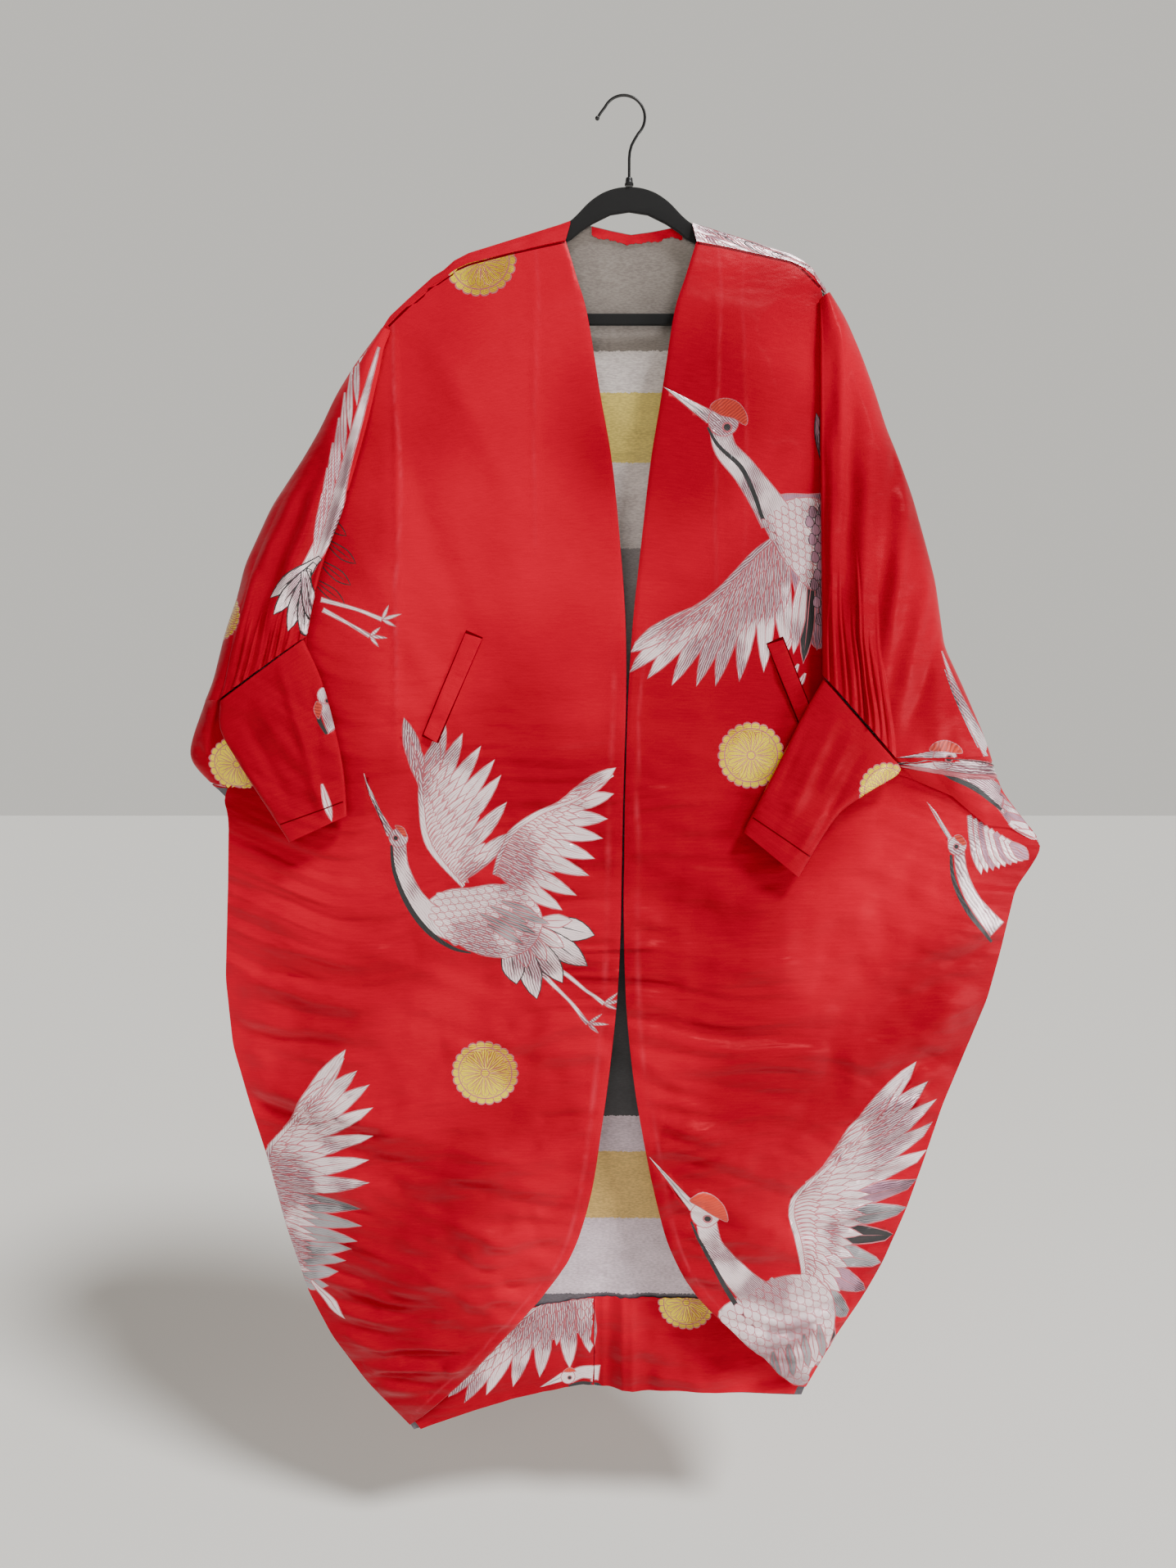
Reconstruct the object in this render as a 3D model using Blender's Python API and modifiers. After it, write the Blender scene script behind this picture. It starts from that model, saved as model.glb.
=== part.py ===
"""A cocoon coat re-cut from a red wedding uchikake, hanging open on a velvet hanger.

The origin is the inner top of the hanger's hook. +Z is up, the fronts face -Y, and left and
right are the viewer's. Sizes are in millimetres, and the meshes are scaled to metres.
"""

import math
from typing import NamedTuple

import bmesh
import bpy
import numpy as np
from mathutils import Vector

MM = 0.001

# Driving dimensions, in millimetres.
CLOTH = 1.6              # wall of the brocade
SEAM = 0.3               # gap between pieces at a seam
YOKE_GAP = 0.8           # the back's top edge stands this far below the yoke's
YOKE_INSET = 2.5         # and stops this far short of its steep right end
SEAM_INSET = 0.5         # the back's edge stands in from the sleeve's at the armhole
LAP = CLOTH + SEAM       # from one cloth's middle to the next one's that lies on it
FRONT_DEPTH = 30.0       # how far the fronts stand out from the hanger's plane
BACK_DEPTH = 19.0
FULLNESS = 110.0         # how far in from the outline the depth builds up
FOLD_FADE = 30.0         # how far in from the outline the folds reach their height
NECK_STAND = 3.0         # how far the back neck stands off the hanger
RIDGE_RADIUS = 4.2       # the cloth's turn over the hanger's arms
SIDE_RADIUS = CLOTH / 2 + 0.25
CLOSED_BELOW, TURN_FADE = -262.0, 40.0  # below this height the outline is a closed side seam
STEM_X = 6.0             # the hook's stem stands off the middle of its arc
ARM_THICK = 4.6
ARM_BEVEL = 1.6
RIDGE_RISE = 1.2         # from the arm's top to the middle of the cloth over it
WIRE = 3.0
HOOK_RADIUS = 22.5       # middle of the hook's wire
COLLAR = (9.6, 8.0)      # diameter, height
TIP_BALL = 4.8
TURN = ((1.2, 3.0), (RIDGE_RADIUS, RIDGE_RADIUS))  # drop and depth of the turn over the arms
YOKE_DROP = (21.0, 7.0)  # shoulder seam below the ridge, at the neck and at the shoulder's end
FACING_HEIGHT = 112.0
FACING_SEAM_X = -30.7
FACING_TURN = 4.0        # the facing ends this far above the hem's edge
FACING_LIFT = 0.6        # and hangs this far off the back
SIDE_CLEAR = 9.0         # and stops this far short of the side seam
POUCH_LIFT = 1.2         # the sleeve's slack hangs this far off the front
FOLD_UNDER = 9.0         # the sleeve's front edge turned under
FOLD_STEP = 3.8          # and how far behind its fold that layer lies


class Arm(NamedTuple):
    """The hanger's arm at a distance from its stem."""
    out: float
    top: float
    under: float


ARMS = (
    Arm(0, -91.0, -118.0), Arm(20, -93.5, -121.0), Arm(39, -103.0, -130.0),
    Arm(52, -115.5, -138.0), Arm(62, -128.0, -146.0), Arm(75, -132.5, -152.0),
    Arm(100, -140.0, -160.0), Arm(125, -147.5, -166.0), Arm(150, -155.0, -172.0),
    Arm(172, -161.5, -178.0), Arm(188, -169.5, -185.0), Arm(199, -179.0, -194.0),
)
ARM_END = ((206.0, -194.0), (206.5, -212.0), (201.0, -227.0), (188.0, -235.5))
BAR_TOP, BAR_INNER_X = -223.0, 186.0


class Height(NamedTuple):
    """Where the coat's outline stands at a height."""
    z: float
    x: float


LEFT_OUTLINE = (
    Height(-185, -205), Height(-209, -233), Height(-226, -252), Height(-244, -264),
    Height(-278, -291), Height(-310, -312), Height(-346, -330), Height(-377, -349),
    Height(-429, -385), Height(-492, -415), Height(-527, -424), Height(-565, -438),
    Height(-595, -446), Height(-620, -453), Height(-649, -466), Height(-680, -479),
    Height(-703, -485), Height(-720, -475), Height(-736, -458), Height(-753, -447),
    Height(-774, -443), Height(-849, -446), Height(-957, -452), Height(-1036, -446),
    Height(-1107, -428), Height(-1173, -409), Height(-1250, -391), Height(-1333, -366),
    Height(-1387, -340), Height(-1446, -299), Height(-1507, -243),
)
RIGHT_OUTLINE = (
    Height(-185, 209), Height(-206, 225), Height(-229, 240), Height(-265, 257),
    Height(-302, 272), Height(-345, 287), Height(-374, 300), Height(-417, 317),
    Height(-475, 335), Height(-510, 345), Height(-581, 357), Height(-621, 377),
    Height(-681, 405), Height(-742, 427), Height(-775, 453), Height(-797, 472),
    Height(-809, 474), Height(-832, 461), Height(-852, 447), Height(-926, 432),
    Height(-981, 419), Height(-1047, 394), Height(-1108, 371), Height(-1172, 352),
    Height(-1232, 333), Height(-1297, 307), Height(-1339, 285), Height(-1388, 254),
    Height(-1463, 214),
)


class Along(NamedTuple):
    """A height along the coat's width."""
    x: float
    z: float


BACK_NECK = (Along(-57, -131), Along(-36, -129.5), Along(-14, -134), Along(8, -138),
             Along(30, -135.5), Along(54, -131.5), Along(74, -134.5))
BACK_HEM = (Along(-243, -1507), Along(-174, -1488), Along(-93, -1469), Along(-44, -1461),
            Along(-12, -1464), Along(21, -1469), Along(54, -1468), Along(119, -1469),
            Along(214, -1463))


class FrontRow(NamedTuple):
    """One section of a front, from its opening edge to its side."""
    edge_x: float
    edge_z: float
    side_x: float
    side_z: float


FRONTS = {
    "left": (
        FrontRow(-62, -148, -254, -233), FrontRow(-50, -190, -264, -262),
        FrontRow(-39, -229, -275, -294), FrontRow(-25, -313, -291, -351),
        FrontRow(-12, -387, -314, -428), FrontRow(-3, -477, -336, -497),
        FrontRow(2.5, -555, -352, -560), FrontRow(3.6, -632, -382, -636),
        FrontRow(2.0, -700, -420, -704), FrontRow(0.4, -762, -447, -753),
        FrontRow(-0.8, -835, -446, -830), FrontRow(-2.0, -905, -450, -905),
        FrontRow(-6, -980, -452, -985), FrontRow(-14, -1058, -440, -1065),
        FrontRow(-23, -1126, -424, -1130), FrontRow(-35, -1204, -402, -1200),
        FrontRow(-56, -1272, -386, -1265), FrontRow(-88, -1322, -366, -1330),
        FrontRow(-133, -1376, -335, -1392), FrontRow(-185, -1436, -292, -1452),
        FrontRow(-234, -1486, -249, -1500),
    ),
    "right": (
        FrontRow(78, -152, 212, -196), FrontRow(66, -190, 218, -232),
        FrontRow(54, -229, 222, -270), FrontRow(41, -313, 224, -340),
        FrontRow(29, -387, 225, -416), FrontRow(19, -477, 227, -503),
        FrontRow(11, -555, 228, -570), FrontRow(6.2, -632, 240, -640),
        FrontRow(4.2, -700, 300, -702), FrontRow(2.8, -755, 372, -736),
        FrontRow(2.2, -810, 474, -807), FrontRow(1.8, -880, 439, -880),
        FrontRow(5, -980, 420, -975), FrontRow(13, -1062, 390, -1055),
        FrontRow(23, -1126, 366, -1125), FrontRow(38, -1202, 343, -1200),
        FrontRow(57, -1270, 320, -1265), FrontRow(88, -1327, 290, -1330),
        FrontRow(134, -1376, 262, -1375), FrontRow(178, -1421, 236, -1421),
        FrontRow(203, -1447, 219, -1452),
    ),
}
FRONT_ARMHOLE_ROWS = {"left": 9, "right": 10}  # rows of FRONTS that end under the sleeve


class SleeveRow(NamedTuple):
    """One section of a sleeve's front, from its turned edge out to its top line."""
    fold_x: float
    fold_z: float
    depth: float
    line_z: float


class UnderRow(NamedTuple):
    """One point of the sleeve's lower edge, at a share of its width."""
    share: float
    x: float
    z: float


class Sleeve(NamedTuple):
    rows: tuple
    ring_out: tuple      # x, z of the gathered seam's outer end
    ring_share: float    # its share of the sleeve's width
    ring_depth: float
    ring_half: float
    waves: int
    outer_shares: tuple  # columns between the gathers and the top line
    under_z: tuple       # heights of the pouch's outline under the gathered seam
    under_edge: tuple
    armhole: tuple       # x, z of the back armhole, from the shoulder down


SLEEVES = {
    "left": Sleeve(
        rows=(
            SleeveRow(-251, -243, 10.0, -241), SleeveRow(-259, -265, 13.5, -266),
            SleeveRow(-264, -290, 16.0, -300), SleeveRow(-279, -351, 20.0, -362),
            SleeveRow(-302, -428, 24.0, -440), SleeveRow(-321, -480, 28.0, -500),
            SleeveRow(-336, -532, 31.0, -572), SleeveRow(-344, -571, 34.0, -640),
        ),
        ring_out=(-440, -639), ring_share=0.84, ring_depth=34.0, ring_half=7.0, waves=12,
        outer_shares=(0.9, 0.96, 1.0),
        under_z=(-640, -668, -703, -722, -737),
        under_edge=(UnderRow(0, -360, -733), UnderRow(0.45, -417, -738),
                    UnderRow(0.84, -446, -738), UnderRow(1, -457, -737)),
        armhole=((-256, -237), (-262, -262), (-275, -300), (-292, -362), (-310, -440),
                 (-328, -510), (-350, -580), (-378, -640), (-420, -702), (-446, -750)),
    ),
    "right": Sleeve(
        rows=(
            SleeveRow(211, -211, 13.0, -203), SleeveRow(212, -250, 18.0, -240),
            SleeveRow(212.5, -300, 21.0, -300), SleeveRow(213, -370, 26.0, -374),
            SleeveRow(214, -440, 30.0, -450), SleeveRow(215, -510, 33.0, -530),
            SleeveRow(216, -565, 36.0, -615), SleeveRow(217, -613, 38.0, -702),
        ),
        ring_out=(297, -702), ring_share=0.5, ring_depth=38.0, ring_half=7.0, waves=16,
        outer_shares=(0.58, 0.66, 0.75, 0.84, 0.92, 0.97, 1.0),
        under_z=(-702, -732, -760, -785, -802),
        under_edge=(UnderRow(0, 260, -708), UnderRow(0.5, 322, -727), UnderRow(0.66, 367, -746),
                    UnderRow(0.84, 407, -779), UnderRow(0.92, 436, -783), UnderRow(1, 473, -802)),
        armhole=((217, -200), (222, -240), (228, -300), (236, -380), (246, -460),
                 (260, -540), (285, -620), (325, -690), (390, -755), (470, -806)),
    ),
}
SLEEVE_STEPS = (0, 0.07, 0.15, 0.25, 0.36, 0.47, 0.58, 0.69, 0.79, 0.87, 0.94, 1)
UNDER_STEPS = (0.14, 0.42, 0.72, 1)
BACK_SLEEVE_SHARES = (0.06, 0.2, 0.45, 0.72, 1)
GATHER = (0.42, 2.0)     # where the gathers begin along the sleeve, and their height


class CuffRow(NamedTuple):
    """One section of a cuff, from its left to its right fold."""
    left_x: float
    left_z: float
    right_x: float
    right_z: float
    depth: float
    half: float


CUFFS = {
    "left": (
        CuffRow(-438.0, -641, -346.5, -574.5, 34.0, 6.4), CuffRow(-438, -672, -328, -618, 34.5, 6.6),
        CuffRow(-421, -705, -315, -668, 35.0, 6.6), CuffRow(-400, -740, -306, -716, 35.5, 6.2),
        CuffRow(-366, -795, -303, -766, 36.0, 5.8),
    ),
    "right": (
        CuffRow(217.0, -617.5, 294.0, -703.5, 38.0, 6.4), CuffRow(196, -655, 301, -718, 39.0, 6.6),
        CuffRow(178, -692, 262, -743, 40.0, 6.6), CuffRow(158, -732, 231, -769, 40.5, 6.2),
        CuffRow(132, -783, 193, -833, 41.0, 5.8),
    ),
}
CUFF_ROWS, CUFF_SIDES = 9, 24


class Welt(NamedTuple):
    """A pocket welt, from its upper to its lower end, each given at both long edges."""
    upper: tuple
    lower: tuple


WELT_LIFT = 0.25         # the welt's sewn layers stand a little off the front


WELTS = {
    "left": Welt(upper=((-171, -567), (-153, -573)), lower=((-218, -677), (-204, -686))),
    "right": Welt(upper=((157, -579), (174, -574)), lower=((204, -688), (218, -679))),
}


class Fold(NamedTuple):
    """A soft ridge in the cloth, between two points."""
    x0: float
    z0: float
    x1: float
    z1: float
    width: float
    height: float


FRONT_FOLDS = (
    Fold(-250, -290, -245, -560, 20, 2.6), Fold(-120, -330, -115, -640, 24, 2.2),
    Fold(-30, -800, -190, -850, 20, 3.0), Fold(-20, -900, -230, -915, 22, 3.4),
    Fold(-430, -860, -250, -935, 24, 4.2), Fold(-435, -960, -230, -1000, 24, 3.8),
    Fold(-25, -1010, -200, -1035, 22, 3.4), Fold(-415, -1080, -200, -1150, 26, 4.4),
    Fold(-50, -1130, -250, -1200, 22, 3.6), Fold(-380, -1180, -190, -1270, 26, 4.2),
    Fold(-100, -1250, -290, -1340, 24, 4.0), Fold(110, -300, 125, -560, 24, 2.4),
    Fold(20, -800, 170, -880, 20, 3.0), Fold(25, -900, 220, -950, 22, 3.4),
    Fold(430, -880, 270, -930, 24, 4.2), Fold(25, -1010, 230, -1060, 22, 3.6),
    Fold(400, -990, 250, -1060, 24, 3.8), Fold(45, -1130, 240, -1210, 24, 3.8),
    Fold(360, -1110, 200, -1190, 24, 3.6), Fold(90, -1230, 260, -1290, 24, 3.6),
)
BACK_FOLDS = (
    Fold(-150, -240, -210, -700, 30, 3.4), Fold(150, -240, 215, -720, 30, 3.4),
    Fold(10, -300, 0, -800, 34, 2.8), Fold(-430, -860, -180, -960, 28, 4.2),
    Fold(430, -880, 190, -990, 28, 4.2), Fold(-400, -1090, -120, -1170, 28, 4.0),
    Fold(380, -1080, 130, -1190, 28, 4.0), Fold(-18, -1300, -18, -1520, 15, 3.4),
    Fold(7, -1310, 7, -1520, 14, -2.6), Fold(33, -1300, 33, -1520, 14, 2.6),
    Fold(71, -1320, 71, -1520, 16, 2.2), Fold(-57, -1330, -57, -1520, 15, 2.0),
    Fold(-120, -1340, -130, -1520, 26, 2.4), Fold(140, -1330, 146, -1520, 26, 2.4),
)
FRONT_SHARES = (0, 0.1, 0.22, 0.35, 0.48, 0.61, 0.74, 0.86, 0.95, 1)
FRONT_ROWS = 34
BACK_LOW_ROWS = 13
NECK_COLUMNS = 12
HEM_COLUMNS = [FACING_SEAM_X + 12.7 * i for i in range(-4, 9)]  # the same columns at the hem


# Curves through tables.

def through(rows, share):
    """A smooth curve through a table's rows, evenly spaced, at a share of its length."""
    table = np.array(rows, float)
    at = min(max(share, 0.0), 1.0) * (len(table) - 1)
    low = min(int(at), len(table) - 2)
    f = at - low
    before, after = table[max(low - 1, 0)], table[min(low + 2, len(table) - 1)]
    a, b = table[low], table[low + 1]
    slope_a, slope_b = (b - before) / 2, (after - a) / 2
    f2, f3 = f * f, f * f * f
    return ((2 * f3 - 3 * f2 + 1) * a + (f3 - 2 * f2 + f) * slope_a
            + (3 * f2 - 2 * f3) * b + (f3 - f2) * slope_b)


def reading(keys, values, at):
    """The straight-line reading of a two-column table, in either order of its keys."""
    keys, values = list(keys), list(values)
    if keys[0] > keys[-1]:
        keys, values = keys[::-1], values[::-1]
    return float(np.interp(at, keys, values))


def outline(side, z):
    rows = LEFT_OUTLINE if side == "left" else RIGHT_OUTLINE
    return reading([r.z for r in rows], [r.x for r in rows], z)


def arm_top(x):
    return reading([a.out for a in ARMS], [a.top for a in ARMS], abs(x - STEM_X))


def shoulder_reach(side):
    """The x of the arm's last row, past which the cloth hangs free."""
    return STEM_X + ARMS[-1].out * (-1 if side == "left" else 1)


def ridge(x):
    """Height of the shoulder line: over the arms, then down the coat's outline."""
    side = "left" if x < STEM_X else "right"
    rows = LEFT_OUTLINE if side == "left" else RIGHT_OUTLINE
    reach = shoulder_reach(side)
    if abs(x - STEM_X) <= abs(reach - STEM_X):
        return arm_top(x) + RIDGE_RISE
    free = [Along(reach, arm_top(reach) + RIDGE_RISE)]
    free += [Along(r.x, r.z) for r in rows[:5] if abs(r.x) > abs(reach) + 3]
    return reading([a.x for a in free], [a.z for a in free], x)


def sampled_outline():
    """Points round both sides and over the shoulders, straight across the neck."""
    left = [(r.x, r.z) for r in LEFT_OUTLINE if r.z < -215][::-1]
    right = [(r.x, r.z) for r in RIGHT_OUTLINE if r.z < -215]
    over = [(x, ridge(x)) for x in range(-232, -56, 8)] + [(x, ridge(x)) for x in range(76, 228, 8)]
    return np.array(left + over + right, float)


OUTLINE_POINTS = sampled_outline()


def inset(x, z):
    """How far a point lies from the outline's nearest place."""
    a, b = OUTLINE_POINTS[:-1], OUTLINE_POINTS[1:]
    run = b - a
    share = ((np.array((x, z)) - a) * run).sum(1) / (run * run).sum(1)
    near = a + run * np.clip(share, 0, 1)[:, None]
    return float(np.hypot(x - near[:, 0], z - near[:, 1]).min())


def relief(folds, x, z):
    """Height of the folds at a point, each fading at its ends."""
    total = 0.0
    for fold in folds:
        run = (fold.x1 - fold.x0, fold.z1 - fold.z0)
        along = ((x - fold.x0) * run[0] + (z - fold.z0) * run[1]) / (run[0] ** 2 + run[1] ** 2)
        along = min(max(along, 0.0), 1.0)
        away = math.hypot(x - fold.x0 - along * run[0], z - fold.z0 - along * run[1])
        total += fold.height * math.exp(-((away / fold.width) ** 2)) * math.sin(math.pi * along) ** 0.6
    return total


def edge_radius(z):
    """Half the turn at the outline: round over the hanger, closed at the side seams."""
    share = min(max((z - CLOSED_BELOW) / TURN_FADE, 0.0), 1.0)
    return SIDE_RADIUS + (RIDGE_RADIUS - SIDE_RADIUS) * share


def depth_front(x, z):
    away = inset(x, z)
    fade = 1 - math.exp(-away / FOLD_FADE)
    full = 1 - math.exp(-away / FULLNESS)
    return edge_radius(z) + FRONT_DEPTH * full + fade * relief(FRONT_FOLDS, x, z)


def depth_back(x, z):
    away = inset(x, z)
    fade = 1 - math.exp(-away / FOLD_FADE)
    full = 1 - math.exp(-away / FULLNESS)
    stand = NECK_STAND * math.exp(-(((x - 8) / 60) ** 2) - ((z + 138) / 25) ** 2)
    return edge_radius(z) + BACK_DEPTH * full + fade * relief(BACK_FOLDS, x, z) + stand


# Meshes.

def material(name, colour, roughness, metallic=0.0, sheen=0.0):
    made = bpy.data.materials.new(name)
    made.use_nodes = True
    shader = made.node_tree.nodes["Principled BSDF"]
    shader.inputs["Base Color"].default_value = (*colour, 1)
    shader.inputs["Roughness"].default_value = roughness
    shader.inputs["Metallic"].default_value = metallic
    shader.inputs["Sheen Weight"].default_value = sheen
    made.diffuse_color = (*colour, 1)
    return made


def add_loft(bm, sections, closed=False):
    """Faces between neighbouring sections, which all have the same number of points."""
    grid = [[bm.verts.new(Vector(p) * MM) for p in section] for section in sections]
    count = len(sections[0])
    for upper, lower in zip(grid, grid[1:]):
        for i in range(count if closed else count - 1):
            j = (i + 1) % count
            bm.faces.new((upper[i], lower[i], lower[j], upper[j]))


def cloth_object(name, lofts, colour, closed=False, thick=CLOTH):
    """One piece of cloth: its lofts joined where they share points, then given their wall."""
    bm = bmesh.new()
    for sections in lofts:
        add_loft(bm, sections, closed)
    bmesh.ops.remove_doubles(bm, verts=bm.verts, dist=1e-6)
    mesh = bpy.data.meshes.new(name)
    bm.to_mesh(mesh)
    bm.free()
    obj = bpy.data.objects.new(name, mesh)
    COAT.objects.link(obj)
    wall = obj.modifiers.new("wall", "SOLIDIFY")
    wall.thickness = thick * MM
    wall.offset = 0
    wall.use_rim = True
    mesh.materials.append(colour)
    mesh.shade_smooth()
    return obj


def mix(a, b, share):
    return a + (b - a) * share


# The back and its yoke strips.

def sleeve_rows(side):
    """The shares down a sleeve, upper part then pouch, as (upper share, pouch share)."""
    return [(t, 0.0) for t in SLEEVE_STEPS] + [(1.0, q) for q in UNDER_STEPS]


def line_z(side, t, q):
    """Height of the sleeve's top line, then of its pouch's outline."""
    sleeve = SLEEVES[side]
    if q > 0:
        return float(through([(z,) for z in sleeve.under_z], q)[0])
    return float(through(sleeve.rows, t)[3])


def armhole(side, t, q):
    """The back armhole's place beside a row of the sleeve."""
    share = (t * (len(SLEEVE_STEPS) - 1) + q * len(UNDER_STEPS)) / (
        len(SLEEVE_STEPS) - 1 + len(UNDER_STEPS))
    x, z = through(SLEEVES[side].armhole, share)
    return float(x), float(z)


def seam_x(side, share):
    """Shoulder seam columns, from the neck out."""
    row = FRONTS[side][0]
    return mix(row.edge_x, row.side_x, share)


def yoke_drop(share):
    return mix(YOKE_DROP[0], YOKE_DROP[1], share ** 0.8)


def ridge_x(side, share):
    neck = BACK_NECK[0].x if side == "left" else BACK_NECK[-1].x
    return mix(neck, FRONTS[side][0].side_x, share)


def back_sides():
    """The back's outer points on each side, row by row, under one shared count of rows."""
    sides = {}
    for side in ("left", "right"):
        inward = SEAM_INSET if side == "left" else -SEAM_INSET
        points = [(armhole(side, t, q)[0] + inward, armhole(side, t, q)[1])
                  for t, q in sleeve_rows(side)]
        top, bottom = points[-1][1], (BACK_HEM[0] if side == "left" else BACK_HEM[-1]).z
        for row in range(1, BACK_LOW_ROWS + 1):
            z = mix(top, bottom, row / BACK_LOW_ROWS)
            points.append((outline(side, z), z))
        sides[side] = points
    return sides


def make_back(colour):
    sides = back_sides()
    rows = len(sides["left"])
    shares_in = [1 - s for s in FRONT_SHARES[::-1]]  # from the outline in to the neck
    top_left = (seam_x("left", 1), ridge(seam_x("left", 1)))
    top_right = (seam_x("right", 1) - YOKE_INSET, ridge(seam_x("right", 1) - YOKE_INSET))
    main = []
    for row in range(-1, rows):
        down = (row + 1) / rows
        if row < 0:
            left, right = top_left, top_right
        else:
            left, right = sides["left"][row], sides["right"][row]
        neck_left = mix(BACK_NECK[0].x, HEM_COLUMNS[0], down)
        neck_right = mix(BACK_NECK[-1].x, HEM_COLUMNS[-1], down)
        columns = [mix(left[0], neck_left, s) for s in shares_in]
        columns += [mix(neck_left, neck_right, i / NECK_COLUMNS) for i in range(1, NECK_COLUMNS)]
        columns += [mix(neck_right, right[0], s) for s in FRONT_SHARES]
        section = []
        for x in columns:
            across = (x - left[0]) / (right[0] - left[0])
            level = mix(left[1], right[1], across)
            top_x = mix(top_left[0], top_right[0], across)
            over = neck_z(top_x) if BACK_NECK[0].x < top_x < BACK_NECK[-1].x else ridge(top_x)
            rise = over - mix(top_left[1], top_right[1], across)
            low_x = mix(BACK_HEM[0].x, BACK_HEM[-1].x, across)
            sag = reading([h.x for h in BACK_HEM], [h.z for h in BACK_HEM], low_x) - mix(
                BACK_HEM[0].z, BACK_HEM[-1].z, across)
            z = level + rise * max(0.0, 1 - down * 1.6) ** 2 + sag * down ** 6
            if row < 0:
                on_neck = BACK_NECK[0].x < x < BACK_NECK[-1].x
                z = neck_z(x) if on_neck else ridge(x) - RIDGE_RADIUS - YOKE_GAP
                y = depth_back(x, z) if on_neck else RIDGE_RADIUS
            else:
                y = depth_back(x, z)
            section.append((x, y, z))
        main.append(section)
    return cloth_object("back", [main], colour)


def neck_z(x):
    return reading([n.x for n in BACK_NECK], [n.z for n in BACK_NECK], x)


def make_yoke(side, colour):
    """The strip that wraps forward over the hanger to the shoulder seam."""
    shares = FRONT_SHARES[::-1] if side == "left" else FRONT_SHARES
    over = [(TURN[1][0], -TURN[1][1]), (TURN[0][0], -TURN[0][1]), (0.0, 0.0), *TURN]
    strip = [[(ridge_x(side, s), -depth, ridge(ridge_x(side, s)) - drop) for s in shares]
             for drop, depth in over]
    for lower in (0.5, 1.0):
        section = []
        for share in shares:
            x = mix(ridge_x(side, share), seam_x(side, share), lower)
            z = ridge(x) - mix(TURN[-1][0], yoke_drop(share), lower)
            section.append((x, -depth_front(x, z), z))
        strip.append(section)
    return cloth_object(f"yoke_{side}", [strip[::-1]], colour)


def make_front(side, colour):
    """A front: sections from the opening edge out, under the sleeve and then to the side seam."""
    table = FRONTS[side]
    free_from = (FRONT_ARMHOLE_ROWS[side]) / (len(table) - 1)
    sections = []
    for row in range(FRONT_ROWS):
        down = row / (FRONT_ROWS - 1)
        edge_x, edge_z, side_x, side_z = through(table, down)
        if down >= free_from:
            side_x = outline(side, side_z)
        section = []
        for share in FRONT_SHARES:
            x = mix(edge_x, side_x, share)
            z = mix(edge_z, side_z, share)
            top = ridge(seam_x(side, share)) - yoke_drop(share) - SEAM
            straight = mix(table[0].edge_z, table[0].side_z, share)
            z += (top - straight) * max(0.0, 1 - down * 6) ** 2
            section.append((x, -depth_front(x, z), z))
        sections.append(section if side == "right" else section[::-1])
    return cloth_object(f"front_{side}", [sections], colour)


# Sleeves and cuffs.

def gather(side, column, t):
    """The gathers stand in turn out and in, deepest a little above the seam."""
    begin, height = GATHER
    if t <= begin:
        return 0.0
    share = (t - begin) / (1 - begin)
    uneven = 0.8 + 0.35 * math.sin(column * 2.3) + 0.2 * math.sin(column * 0.9)
    return height * uneven * math.sin(share * 2.55) * (1 if column % 2 else -1)


def sleeve_columns(side):
    """Shares from the turned edge out, first the gathers and then the plain outer part."""
    sleeve = SLEEVES[side]
    count = sleeve.waves * 2
    return [sleeve.ring_share * i / count for i in range(count + 1)] + list(sleeve.outer_shares)


def ring_place(side, share):
    """Where a column crosses the gathered seam's row."""
    sleeve = SLEEVES[side]
    fold = sleeve.rows[-1]
    line = (outline(side, fold.line_z), fold.line_z)
    if share <= sleeve.ring_share:
        f = share / sleeve.ring_share
        return mix(fold.fold_x, sleeve.ring_out[0], f), mix(fold.fold_z, sleeve.ring_out[1], f)
    f = (share - sleeve.ring_share) / (1 - sleeve.ring_share)
    return mix(sleeve.ring_out[0], line[0], f), mix(sleeve.ring_out[1], line[1], f)


def ring_bulge(side, share):
    sleeve = SLEEVES[side]
    if not 0 < share < sleeve.ring_share:
        return 0.0
    return sleeve.ring_half * math.sin(math.pi * share / sleeve.ring_share) ** 0.6


def ring_depth(side, share):
    sleeve = SLEEVES[side]
    if share <= sleeve.ring_share:
        return sleeve.ring_depth
    f = (share - sleeve.ring_share) / (1 - sleeve.ring_share)
    return sleeve.ring_depth * math.sqrt(max(0.0, 1 - f ** 2.4))


def sleeve_point(side, share, t):
    """A point of the sleeve's front, before its gathers."""
    fold_x, fold_z, depth, top_z = through(SLEEVES[side].rows, t)
    x = mix(fold_x, outline(side, top_z), share)
    z = mix(fold_z, top_z, share)
    last = SLEEVES[side].rows[-1]
    ring_x, ring_z = ring_place(side, share)
    bent = t ** 3
    x += bent * (ring_x - mix(last.fold_x, outline(side, last.line_z), share))
    z += bent * (ring_z - mix(last.fold_z, last.line_z, share))
    free = (depth + 5 * math.sin(math.pi * share)) * math.sqrt(max(0.0, 1 - share ** 4))
    near = min(max((t - 0.45) / 0.55, 0.0), 1.0)
    near = near * near * (3 - 2 * near)
    return x, mix(free, ring_depth(side, share) + ring_bulge(side, share), near), z


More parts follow.
